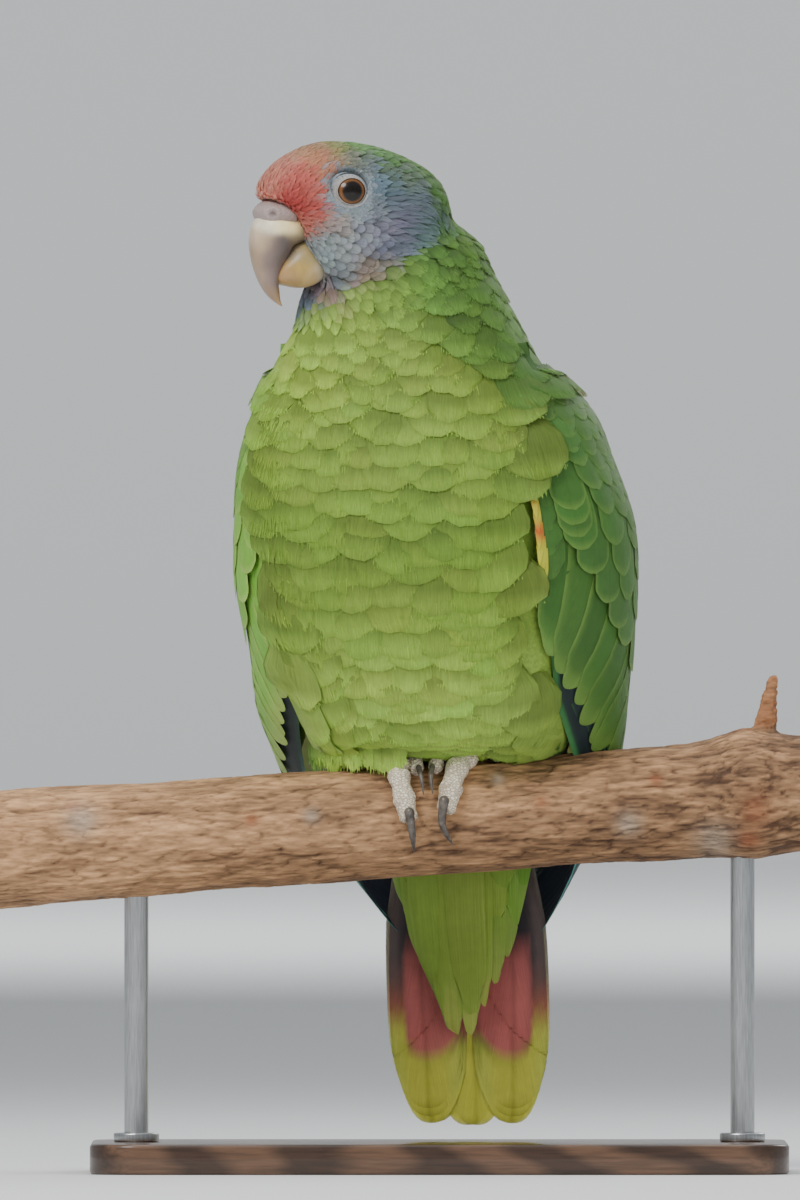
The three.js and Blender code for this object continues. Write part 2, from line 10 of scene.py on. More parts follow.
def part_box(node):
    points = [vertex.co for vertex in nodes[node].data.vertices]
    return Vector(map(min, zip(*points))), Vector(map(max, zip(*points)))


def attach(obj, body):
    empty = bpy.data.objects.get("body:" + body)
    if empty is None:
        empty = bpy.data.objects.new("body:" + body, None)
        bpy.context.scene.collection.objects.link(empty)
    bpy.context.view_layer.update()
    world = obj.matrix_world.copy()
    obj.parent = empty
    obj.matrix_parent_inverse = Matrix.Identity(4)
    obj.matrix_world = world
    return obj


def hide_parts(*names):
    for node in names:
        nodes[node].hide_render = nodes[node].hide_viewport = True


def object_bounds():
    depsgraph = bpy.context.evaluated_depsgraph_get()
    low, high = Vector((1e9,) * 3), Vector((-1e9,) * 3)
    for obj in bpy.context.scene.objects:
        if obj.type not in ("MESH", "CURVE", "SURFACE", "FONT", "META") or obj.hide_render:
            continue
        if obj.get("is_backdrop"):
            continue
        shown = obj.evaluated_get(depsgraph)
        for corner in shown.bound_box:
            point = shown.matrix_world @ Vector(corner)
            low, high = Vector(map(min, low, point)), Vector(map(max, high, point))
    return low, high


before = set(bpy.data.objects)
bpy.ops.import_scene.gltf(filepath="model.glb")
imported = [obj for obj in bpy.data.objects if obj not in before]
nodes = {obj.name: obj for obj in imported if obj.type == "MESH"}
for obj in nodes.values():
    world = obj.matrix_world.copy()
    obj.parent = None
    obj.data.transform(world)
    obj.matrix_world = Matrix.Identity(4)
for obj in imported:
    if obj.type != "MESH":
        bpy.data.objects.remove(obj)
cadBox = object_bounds()
rng = np.random.default_rng(11)
mm = 0.001


# small helpers

def boxMiddle(name):
    low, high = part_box(name)
    return (np.array(low) + np.array(high)) / 2


def setActive(obj):
    bpy.ops.object.select_all(action="DESELECT")
    obj.select_set(True)
    bpy.context.view_layer.objects.active = obj


def applyModifier(obj, kind, **settings):
    setActive(obj)
    modifier = obj.modifiers.new(kind.title(), kind)
    for key, value in settings.items():
        setattr(modifier, key, value)
    bpy.ops.object.modifier_apply(modifier=modifier.name)


def newMesh(name, points, faces, smooth=True):
    mesh = bpy.data.meshes.new(name)
    mesh.from_pydata(np.asarray(points).tolist(), [], [list(f) for f in faces])
    if smooth:
        mesh.shade_smooth()
    obj = bpy.data.objects.new(name, mesh)
    bpy.context.scene.collection.objects.link(obj)
    return obj


def readPoints(mesh):
    points = np.empty(len(mesh.vertices) * 3)
    mesh.vertices.foreach_get("co", points)
    return points.reshape(-1, 3)


def writePoints(mesh, points):
    mesh.vertices.foreach_set("co", np.asarray(points, dtype=np.float32).ravel())
    mesh.update()


def readNormals(mesh):
    normals = np.empty(len(mesh.vertices) * 3)
    mesh.vertex_normals.foreach_get("vector", normals)
    return normals.reshape(-1, 3)


def paint(obj, colours):
    layer = obj.data.color_attributes.new("Plumage", "FLOAT_COLOR", "POINT")
    rgba = np.ones((len(colours), 4))
    rgba[:, :3] = colours
    layer.data.foreach_set("color", rgba.astype(np.float32).ravel())


def addUv(obj, name, perVertex):
    loops = np.empty(len(obj.data.loops), dtype=np.int32)
    obj.data.loops.foreach_get("vertex_index", loops)
    layer = obj.data.uv_layers.new(name=name)
    layer.data.foreach_set("uv", np.asarray(perVertex, dtype=np.float32)[loops].ravel())


def dress(obj, material, slotName, *replaced):
    obj.data.materials.clear()
    obj.data.materials.append(material)
    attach(obj, "root")
    if replaced:
        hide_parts(*replaced)
    return obj


def unit(vectors):
    return vectors / np.maximum(np.linalg.norm(vectors, axis=-1, keepdims=True), 1e-12)


def ramp(x, low, high):
    t = np.clip((x - low) / (high - low), 0, 1)
    return t * t * (3 - 2 * t)


# rows of [place, value, ...] joined by smooth curves, read at every x
def smoothRows(rows, x):
    rows = np.array(rows, dtype=float)
    places, values = rows[:, 0], rows[:, 1:]
    slopes = np.gradient(values, places, axis=0)
    x = np.clip(x, places[0], places[-1])
    i = np.clip(np.searchsorted(places, x) - 1, 0, len(places) - 2)
    span = (places[i + 1] - places[i])[..., None]
    t = (x - places[i])[..., None] / span
    return (
        (2 * t**3 - 3 * t**2 + 1) * values[i] + (t**3 - 2 * t**2 + t) * span * slopes[i]
        + (3 * t**2 - 2 * t**3) * values[i + 1] + (t**3 - t**2) * span * slopes[i + 1]
    )


def linear(colour):
    c = np.array(colour, dtype=float) / 255
    return np.where(c < 0.04045, c / 12.92, ((c + 0.055) / 1.055) ** 2.4)


# The colour a share of the way from the first to the second; tuples hold sRGB values.
def between(first, second, share):
    first, second = (linear(c) if isinstance(c, tuple) else c for c in (first, second))
    return first * (1 - share) + second * share


def faceOutward(obj, weld=0.0):
    mesh = bmesh.new()
    mesh.from_mesh(obj.data)
    if weld:
        bmesh.ops.remove_doubles(mesh, verts=mesh.verts, dist=weld)
    bmesh.ops.recalc_face_normals(mesh, faces=mesh.faces)
    mesh.to_mesh(obj.data)
    mesh.free()


# A search tree of a mesh, with the corners of its faces and the normals of its points.
def surfaceOf(mesh):
    corners = [tuple(p.vertices) for p in mesh.polygons]
    return BVHTree.FromPolygons(readPoints(mesh).tolist(), corners), corners, readNormals(mesh)


# the bird's own frames, in millimetres: x to its left, y to its back, z up from the branch's top

bird = {"turn": math.radians(-13), "perchTop": 135.4, "eyeForward": 4.7}

eyeLeft, eyeRight = boxMiddle("eye_left") / mm, boxMiddle("eye_right") / mm
headLeft = unit(eyeLeft - eyeRight)
headForward = np.cross(headLeft, [0, 0, 1])
headMiddle = (eyeLeft + eyeRight) / 2 - headForward * bird["eyeForward"]
headAxes = np.array([headLeft, headForward, [0, 0, 1]])
bodyAxes = np.array([
    [math.cos(bird["turn"]), math.sin(bird["turn"]), 0],
    [-math.sin(bird["turn"]), math.cos(bird["turn"]), 0],
    [0, 0, 1],
])
bodyMiddle = np.array([0, 0, bird["perchTop"]])


def toBody(points):
    return (np.asarray(points) / mm - bodyMiddle) @ bodyAxes.T


def fromBody(points):
    return (np.asarray(points) @ bodyAxes + bodyMiddle) * mm


# left, forward and up of the middle between the eyes
def toHead(points):
    return (np.asarray(points) / mm - headMiddle) @ headAxes.T


def fromHead(points):
    return (np.asarray(points) @ headAxes + headMiddle) * mm


# camera, light and floor

view = {"distance": 12.0, "aimX": -0.013, "aimZ": 0.1888, "heightSeen": 0.396}
bpy.ops.object.camera_add(
    location=(view["aimX"], -view["distance"], view["aimZ"]), rotation=(math.pi / 2, 0, 0)
)
camera = bpy.context.object
camera.data.sensor_fit = "VERTICAL"
camera.data.sensor_height = 24
camera.data.lens = 24 * view["distance"] / view["heightSeen"]
camera.data.clip_start = 0.1
bpy.context.scene.camera = camera


def areaLight(name, place, aim, size, power, colour=(1, 1, 1)):
    bpy.ops.object.light_add(type="AREA", location=place)
    light = bpy.context.object
    light.name = name
    light.data.shape = "DISK"
    light.data.size = size
    light.data.energy = power
    light.data.color = colour
    light.rotation_euler = (Vector(aim) - Vector(place)).to_track_quat("-Z", "Y").to_euler()
    return light


areaLight("keyLight", (-0.9, -1.3, 1.5), (0, 0, 0.2), 0.9, 30, (1, 0.98, 0.95))
fillLight = areaLight("fillLight", (0.9, -1.9, 0.35), (0, 0, 0.2), 1.4, 20, (0.97, 0.98, 1))
fillLight.visible_glossy = False
areaLight("topLight", (0.1, 0.2, 1.7), (0, 0, 0.2), 1.2, 12)
areaLight("rimLight", (0.9, 1.1, 0.9), (0, 0, 0.22), 0.7, 6)
areaLight("wallLight", (0, 7, 4), (0, 14.5, 0.4), 2.0, 260)

world = bpy.data.worlds.new("softRoom")
bpy.context.scene.world = world
world.use_nodes = True
world.node_tree.nodes["Background"].inputs["Color"].default_value = (0.85, 0.88, 0.92, 1)
world.node_tree.nodes["Background"].inputs["Strength"].default_value = 0.55


# materials

def shaderOf(material):
    return material.node_tree.nodes["Principled BSDF"]


def newMaterial(name, sockets):
    material = bpy.data.materials.new(name)
    material.use_nodes = True
    for key, value in sockets.items():
        shaderOf(material).inputs[key].default_value = value
    return material


def add(material, kind, **settings):
    node = material.node_tree.nodes.new("ShaderNode" + kind)
    for key, value in settings.items():
        if key in node.inputs:
            node.inputs[key].default_value = value
        else:
            setattr(node, key, value)
    return node


def join(material, a, b):
    material.node_tree.links.new(a, b)


# Feeds a socket from a value or from another node's output.
def feed(material, value, socket):
    if hasattr(value, "is_output"):
        join(material, value, socket)
    else:
        socket.default_value = value


def mathOf(material, operation, *values):
    node = add(material, "Math", operation=operation)
    for value, socket in zip(values, node.inputs):
        feed(material, value, socket)
    return node.outputs[0]


def noiseOf(material, vector, scale, detail=3):
    node = add(material, "TexNoise", Scale=scale, Detail=detail, Roughness=0.55)
    join(material, vector, node.inputs["Vector"])
    return node.outputs["Fac"]


# Each stop is a place and a colour; a single number is a grey.
def rampOf(material, fac, stops):
    node = add(material, "ValToRGB")
    elements = node.color_ramp.elements
    while len(elements) < len(stops):
        elements.new(0.5)
    for element, (place, colour) in zip(elements, stops):
        element.position = place
        element.color = (*(colour if isinstance(colour, tuple) else [colour] * 3), 1)
    join(material, fac, node.inputs["Fac"])
    return node.outputs["Color"]


def multiplied(material, share, a, b):
    node = add(material, "Mix", data_type="RGBA", blend_type="MULTIPLY")
    for value, socket in ((share, node.inputs[0]), (a, node.inputs[6]), (b, node.inputs[7])):
        feed(material, value, socket)
    return node.outputs[2]


# Makes the base colour from a colour times a ramp over some noise.
def coloured(material, base, fac, stops, share=1.0):
    product = multiplied(material, share, base, rampOf(material, fac, stops))
    join(material, product, shaderOf(material).inputs["Base Color"])


def bumpOf(material, height, strength, distance):
    node = add(material, "Bump", Strength=strength, Distance=distance)
    join(material, height, node.inputs["Height"])
    join(material, node.outputs["Normal"], shaderOf(material).inputs["Normal"])


def objectPlace(material, scale=(1, 1, 1)):
    mapping = add(material, "Mapping", Scale=scale)
    join(material, add(material, "TexCoord").outputs["Object"], mapping.inputs["Vector"])
    return mapping.outputs["Vector"]


def paintOf(material):
    return add(material, "Attribute", attribute_name="Plumage").outputs["Color"]


# Colour from the painted plumage, with fine barbs that slant away from the shaft, or fan along the
# vane.
def featherMaterial(
    name, barbs, barbDepth, shaft, roughness=0.66, sheen=0.05, fan=False, streak=0.8, inside=0.4
):
    material = newMaterial(name, {
        "Roughness": roughness, "Specular IOR Level": 0.28,
        "Subsurface Weight": inside, "Subsurface Radius": (1, 1, 0.6), "Subsurface Scale": 0.002,
        "Sheen Weight": sheen, "Sheen Roughness": 0.4, "Sheen Tint": (0.8, 0.9, 0.55, 1),
    })
    vane = add(material, "SeparateXYZ")
    join(material, add(material, "UVMap", uv_map="Vane").outputs["UV"], vane.inputs[0])
    along = vane.outputs["Y"]
    across = mathOf(material, "SUBTRACT", vane.outputs["X"], 0.5)
    away = mathOf(material, "ABSOLUTE", across)
    slant = mathOf(material, "MULTIPLY_ADD", away, -1.1, along)
    barbPlace = add(material, "CombineXYZ")
    join(material, across if fan else slant, barbPlace.inputs["X"])
    join(material, mathOf(material, "MULTIPLY", along if fan else across, 0.06), barbPlace.inputs["Y"])
    barbNoise = noiseOf(material, barbPlace.outputs[0], barbs, 2)
    barbShade = rampOf(material, barbNoise, [(0.3, (0.76, 0.78, 0.74)), (0.7, (1.13, 1.12, 1.1))])
    barbed = multiplied(material, streak, paintOf(material), barbShade)
    shaftLine = rampOf(material, away, [(0.0, (0.78, 0.78, 0.74)), (0.045, 1)])
    withShaft = multiplied(material, shaft, barbed, shaftLine)
    mottle = noiseOf(material, objectPlace(material), 260)
    coloured(material, withShaft, mottle, [(0.25, (0.86, 0.87, 0.84)), (0.75, (1.1, 1.09, 1.06))], 0.6)
    bumpOf(material, barbNoise, barbDepth, 0.0004)
    return material


bodyFeather = featherMaterial("bodyFeather", 40, 0.35, 0.1, fan=True)
downyFeather = featherMaterial("headFeather", 9, 0.3, 0.1, roughness=0.72, fan=True)
barbFeather = featherMaterial("barbFeather", 4, 0.2, 0.0, roughness=0.7, streak=0.4)
wingFeather = featherMaterial("wingFeather", 150, 0.3, 0.35, roughness=0.55, sheen=0.08, inside=0.2)

skinMaterial = newMaterial("skin", {"Roughness": 0.7})
speckle = noiseOf(skinMaterial, objectPlace(skinMaterial), 900)
coloured(
    skinMaterial, paintOf(skinMaterial), speckle, [(0.3, (0.62, 0.63, 0.6)), (0.7, (0.92, 0.92, 0.9))]
)
bumpOf(skinMaterial, noiseOf(skinMaterial, objectPlace(skinMaterial), 1500, 2), 0.5, 0.0003)
print("materials made")


# markings, shared by skin and feathers

# forward, up, reach, then the colour; up to the rim where green begins
headMarks = [
    (31, -1, 3, 240, 150, 128), (28, 4.5, 3, 236, 146, 124), (24, 8.5, 3, 226, 144, 122),
    (19, 12.5, 2, 212, 156, 124), (14, 15, 2, 170, 140, 104), (13.5, 10.5, 1.5, 214, 142, 96),
    (10.5, 9.5, 1, 202, 130, 108), (5, 13.5, 2, 148, 146, 84), (20, 4.4, 4, 216, 104, 92),
    (23.5, 0, 4, 206, 84, 78), (22.5, -5, 3, 186, 62, 60), (16, -1, 3, 214, 108, 94),
    (17.5, -7, 3, 200, 78, 72), (18.5, -11.2, 2, 222, 124, 106), (13.4, -10.4, 1.5, 208, 130, 116),
    (4.7, -1.1, 8.2, 158, 172, 180), (9, -12.5, 2, 176, 168, 160), (0.5, 9.8, 1.5, 134, 134, 122),
    (-5, 8.6, 2, 116, 128, 132), (-7.6, 1, 3, 108, 132, 148), (-12, -1.5, 3, 104, 128, 140),
    (-13, 4.6, 2, 98, 118, 98), (-18, 3.6, 2, 108, 124, 108), (-8, -6.5, 3, 128, 138, 146),
    (-15.5, -8, 3, 118, 122, 138), (-21, -4.2, 2.5, 108, 122, 128), (-8, -13.2, 2, 140, 138, 156),
    (-15.5, -13.4, 3, 130, 128, 150), (-21.5, -11, 2.5, 116, 130, 140), (-10.2, -20, 3, 136, 138, 158),
    (-26, -13, 2.5, 106, 132, 124), (-22.6, -18.6, 2.5, 110, 134, 136), (-15.5, -21, 3, 126, 136, 152),
    (-9.6, -26, 2, 144, 140, 130), (10, -17.4, 3, 164, 176, 178), (3, -21, 4, 176, 182, 184),
    (-2.4, -17.5, 3, 164, 168, 180), (8, -27, 3, 168, 184, 186), (-1, -28.5, 2, 158, 138, 124),
    (-5.5, -29.6, 1.5, 150, 134, 114), (5, -32, 2, 138, 154, 166), (11, -33, 2.5, 120, 96, 100),
    (15, -36, 2, 122, 130, 158), (7, -37.8, 1.5, 180, 146, 136), (16, -40.5, 1.5, 124, 144, 164),
]
greenMarks = [
    (19, -46, 2), (9, -44, 2), (0, -39, 2), (-9, -35.5, 2), (-17, -29.5, 2), (-24.5, -25.5, 2),
    (-30.5, -20, 2), (-33, -11, 2), (-31, -2, 2), (-24, 5.5, 2), (-15, 10.5, 2), (-6, 13.5, 2.5),
    (-1, 16.5, 2),
]
# the breast's greens by height, with painted light on the lower belly and a painted shaded band near a
# height of 66
breastGreensAndShading = [
    (-20, 152, 190, 78), (0, 182, 216, 90), (16, 184, 216, 92), (34, 162, 192, 78), (50, 144, 172, 66),
    (66, 132, 162, 60), (84, 140, 170, 64), (104, 148, 176, 68), (125, 150, 176, 70),
    (148, 152, 182, 76), (166, 140, 178, 74), (196, 84, 130, 58),
]
backGreens = [
    (-20, 96, 148, 54), (10, 88, 142, 50), (60, 72, 124, 46), (110, 88, 134, 54), (140, 112, 154, 66),
    (170, 104, 148, 62), (196, 80, 126, 52)
]

torsoRows = [
    [-14, 0, 16, 22, 36], [-6, 0, 29, 6, 39], [4, 0, 41, -26, 41], [18, 0, 48, -37, 42],
    [36, 0, 53, -45, 41.5], [58, -0.5, 57, -49.5, 40], [80, -1, 58.5, -50.5, 37.5],
    [100, -3, 56, -48.5, 33.5], [116, -5.5, 51.5, -45, 29], [128, -8.2, 46.8, -43, 25],
    [140, -8, 40, -41, 19.5], [152, -9, 35.5, -38.5, 14.5], [163, -9.8, 30.6, -34, 9],
    [173, -9, 26, -27, 5], [182, -8, 17, -20, 1],
]


# neckLight and rimLight are painted light and flankShade is painted shade; bodyGreen lays them on the
# greens
markings = {
    "blend": 2.6, "headReach": 52, "neck": (112, 150), "toFront": (-0.15, 0.55), "flankDusk": 0.35,
    "shoulderDusk": 0.8, "neckLight": 0.2, "flankShade": 0.13, "rimLight": 0.08,
    "tint": np.array([1, 1.045, 0.98]),
}


# Shares of the marks [forward, up, reach, ...] at places in the head's frame.
def markShares(head, marks, blend, pull=1):
    away = (head[:, None, 1] - marks[None, :, 0]) ** 2 + (head[:, None, 2] - marks[None, :, 1]) ** 2
    away = away - marks[None, :, 2] ** 2 * pull
    away -= away.min(axis=1, keepdims=True)
    share = np.exp(-away / (2 * blend**2))
    return share / share.sum(axis=1, keepdims=True)


def colourRows(height, rows):
    places, *channels = zip(*rows)
    return np.array([np.interp(height, places, channel) for channel in channels]).T


# sRGB greens of the body at places in its own frame, with painted light and shade laid over them
def bodyGreen(places):
    height = places[:, 2]
    shift, half, front, back = smoothRows(torsoRows, height).T
    across = (places[:, 0] - shift) / half
    deep = (places[:, 1] - (front + back) / 2) / np.maximum((back - front) / 2, 1)
    looks = bodyAxes @ headForward
    turnedAway = -(across * looks[0] + deep * looks[1])
    onNeck = ramp(height, *markings["neck"])
    facing = (
        -deep - (turnedAway - deep) * onNeck
        - markings["flankDusk"] * ramp(np.abs(across), 0.8, 1.1) * (1 - onNeck)
    )
    onShoulder = ramp(across, 0.65, 0.95) * ramp(height, 98, 110) * (1 - ramp(height, 140, 156))
    facing = facing - markings["shoulderDusk"] * onShoulder
    frontShare = ramp(facing, *markings["toFront"])[:, None]
    # painted light on the right of the neck and at the right rim, and painted shade on the left flank
    level = (
        1 + markings["neckLight"] * ramp(-across, 0.0, 0.6) * ramp(height, 96, 128)
        - markings["flankShade"] * ramp(across, 0.3, 0.75)
        + markings["rimLight"] * ramp(-across, 0.6, 0.95)
    )
    green = between(colourRows(height, backGreens), colourRows(height, breastGreensAndShading), frontShare)
    return green * level[:, None] * markings["tint"]


# The bird's linear colours at points in metres.
def plumage(points):
    green = bodyGreen(toBody(points))
    head = toHead(points)
    far = np.linalg.norm(head - [0, 0, -10], axis=1) > markings["headReach"]
    share = markShares(
        head, np.array([m[:3] for m in headMarks] + greenMarks, dtype=float), markings["blend"]
    )
    count = len(headMarks)
    colours = share[:, :count] @ np.array([m[3:] for m in headMarks], dtype=float)
    colours += green * share[:, count:].sum(axis=1, keepdims=True)
    colours[far] = green[far]
    return linear(colours)


# skin, one closed surface under all the feathers

skin = {"voxel": 1.6, "join": 0.4, "trunk": 3.4, "neck": 2.7, "head": 1.3, "face": 0.8, "eyeRing": 0.3}

mantleRows = [
    [-64, 0.5, 23.5, 40, 8, 15], [-50, 0.5, 32.5, 38, 10, 16], [-39, 0, 40, 35, 12, 18],
    [-25, -0.5, 48, 31, 16, 21], [-10, -1.5, 56.4, 26, 22, 24], [4, -1.5, 61, 18, 30, 30],
    [18, -1.5, 64.4, 10, 36, 37], [36, 0, 66.2, 2, 44, 45], [58, -0.5, 68.5, -3, 46.5, 49.5],
    [80, -0.8, 67.8, -5, 46, 49], [100, -3.2, 63.6, -6, 42, 44], [116, -4, 57.8, -7, 36, 37],
    [132, -8, 46.6, -7, 29, 30],
]
armRows = [
    [-22, 56, 74], [-14, 28, 84], [-4, -6, 87], [8, -29, 88], [22, -40, 87], [36, -46, 85],
    [58, -49, 81], [80, -50, 75], [100, -47, 68], [116, -40, 60], [125, -28, 46], [131, -8, 26],
]


# A place on the wings' mantle, in the body's frame, and depth millimetres under it.
def mantlePoint(side, height, degrees, depth):
    height, angle, depth = np.broadcast_arrays(
        np.asarray(height, float), np.radians(degrees), np.asarray(depth, float)
    )
    shift, half, middle, front, back = np.moveaxis(smoothRows(mantleRows, height), -1, 0)
    reach = np.where(np.sin(angle) < 0, front, back)
    return np.stack(
        [
            shift + side * np.cos(angle) * (half - depth), middle + np.sin(angle) * (reach - depth),
            height
        ], -1
    )


def mantleAngle(side, places):
    shift, half, middle, front, back = np.moveaxis(smoothRows(mantleRows, places[..., 2]), -1, 0)
    deep = places[..., 1] - middle
    return np.degrees(
        np.arctan2(deep / np.where(deep < 0, front, back), side * (places[..., 0] - shift) / half)
    )


def mergedCopy(name):
    copy = bpy.data.objects.new(name + "Flesh", nodes[name].data.copy())
    bpy.context.scene.collection.objects.link(copy)
    faceOutward(copy, 0.02 * mm)
    writePoints(copy.data, readPoints(copy.data) + readNormals(copy.data) * skin["join"] * mm)
    copy.data.materials.clear()
    return copy


# The arm under the wing feathers, a closed sheet from the mantle into the trunk.
def wingFlesh(side):
    heights, shares = np.linspace(22, 128, 30), np.linspace(0, 1, 22)
    arms = smoothRows(armRows, heights)
    degrees = arms[:, :1] + 7 + shares * (arms[:, 1:] - arms[:, :1] - 11)
    inner = np.interp(heights, [22, 50, 110, 128], [9, 17, 17, 12])[:, None] * np.ones_like(degrees)
    outer = mantlePoint(side, heights[:, None], degrees, 4.7)
    under = mantlePoint(side, heights[:, None], degrees, inner)
    rows, columns = degrees.shape
    points = np.concatenate([outer.reshape(-1, 3), under.reshape(-1, 3)])
    place = lambda layer, i, j: layer * rows * columns + i * columns + j
    faces = []
    for i in range(rows - 1):
        for j in range(columns - 1):
            quad = [(i, j), (i, j + 1), (i + 1, j + 1), (i + 1, j)]
            faces.append([place(0, *q) for q in quad])
            faces.append([place(1, *q) for q in quad[::-1]])
    rim = [(0, j) for j in range(columns - 1)] + [(i, columns - 1) for i in range(rows - 1)]
    rim += [(rows - 1, j) for j in range(columns - 1, 0, -1)] + [(i, 0) for i in range(rows - 1, 0, -1)]
    for a, b in zip(rim, rim[1:] + rim[:1]):
        faces.append([place(0, *b), place(0, *a), place(1, *a), place(1, *b)])
    flesh = newMesh("wingFlesh", fromBody(points), faces, smooth=False)
    faceOutward(flesh)
    return flesh


def joinAll(objects, name):
    setActive(objects[0])
    for obj in objects:
        obj.select_set(True)
    bpy.ops.object.join()
    objects[0].name = name
    return objects[0]


# How far the skin lies inside the solids at points in metres, in millimetres.
def coatDepth(points):
    body, head = toBody(points), toHead(points)
    depth = skin["trunk"] + (skin["neck"] - skin["trunk"]) * ramp(body[:, 2], 112, 150)
    inHead = 1 - ramp(np.linalg.norm(head - [0, -2, -8], axis=1), 30, 42)
    onFace = inHead * ramp(head[:, 1], 2, 14)
    depth = depth + (skin["head"] - depth) * inHead
    depth = depth + (skin["face"] - depth) * onFace
    ring = np.hypot(head[:, 1] - bird["eyeForward"], head[:, 2])
    return depth + (skin["eyeRing"] - depth) * inHead * (1 - ramp(ring, 7, 11))


birdSkin = joinAll([mergedCopy("trunk"), mergedCopy("neck"), mergedCopy("head")], "skin")
applyModifier(birdSkin, "REMESH", mode="VOXEL", voxel_size=skin["voxel"] * mm)
applyModifier(birdSkin, "SMOOTH", factor=0.5, iterations=8)
points = readPoints(birdSkin.data)
writePoints(
    birdSkin.data,
    points - readNormals(birdSkin.data) * (coatDepth(points) + skin["join"])[:, None] * mm
)
bodySurface = surfaceOf(birdSkin.data)
birdSkin = joinAll([birdSkin, wingFlesh(1), wingFlesh(-1)], "skin")
applyModifier(birdSkin, "REMESH", mode="VOXEL", voxel_size=skin["voxel"] * mm)
applyModifier(birdSkin, "SMOOTH", factor=0.5, iterations=3)
birdSkin.data.shade_smooth()
paint(birdSkin, plumage(readPoints(birdSkin.data)))
dress(birdSkin, skinMaterial, "plumage_green", "head", "neck", "trunk", "wing_left", "wing_right")

skinSurface = surfaceOf(birdSkin.data)
print("skin made,", len(birdSkin.data.polygons), "faces")


# Nearest places on the skin, or on the trunk under the wings, and blended normals there.
def smoothedNormals(places, onTrunk=False):
    tree, corners, normals = bodySurface if onTrunk else skinSurface
    found, leads = [], []
    for place in places.tolist():
        spot, _, index, _ = tree.find_nearest(place)
        found.append(spot[:])
        leads.append(normals[list(corners[index])].mean(axis=0))
    return np.array(found), unit(np.array(leads))


# feathers, thin closed vanes

# Places of the rows and the faces of one vane: a top grid, a lower grid inside its rim, a shared rim.
def vaneTemplate(rows, columns):
    r, c = len(rows) - 1, columns
    top = np.arange((r + 1) * (c + 1)).reshape(r + 1, c + 1)
    low = top.copy()
    low[1:-1, 1:-1] = top.size + np.arange((r - 1) * (c - 1)).reshape(r - 1, c - 1)
    faces = []
    for i in range(r):
        for j in range(c):
            faces.append([top[i, j], top[i + 1, j], top[i + 1, j + 1], top[i, j + 1]])
            faces.append([low[i, j], low[i, j + 1], low[i + 1, j + 1], low[i + 1, j]])
    onRim = np.zeros(low.max() + 1, dtype=bool)
    onRim[np.concatenate([top[0], top[-1], top[:, 0], top[:, -1]])] = True
    return np.array(rows), np.linspace(-1, 1, c + 1), np.array(faces), onRim


# The rims are sharp, so that the upper side's shading isn't mixed with the lower side's.
def quadMesh(name, points, quads, onRim):
    mesh = bpy.data.meshes.new(name)
    mesh.vertices.add(len(points))
    mesh.vertices.foreach_set("co", np.asarray(points, dtype=np.float32).ravel())
    mesh.loops.add(quads.size)
    mesh.loops.foreach_set("vertex_index", quads.astype(np.int32).ravel())
    mesh.polygons.add(len(quads))
    mesh.polygons.foreach_set("loop_start", np.arange(0, quads.size, 4, dtype=np.int32))
    mesh.update(calc_edges=True)
    mesh.shade_smooth()
    ends = np.empty(len(mesh.edges) * 2, dtype=np.int32)
    mesh.edges.foreach_get("vertices", ends)
    mesh.edges.foreach_set("use_edge_sharp", onRim[ends % len(onRim)].reshape(-1, 2).all(axis=1))
    obj = bpy.data.objects.new(name, mesh)
    bpy.context.scene.collection.objects.link(obj)
    return obj


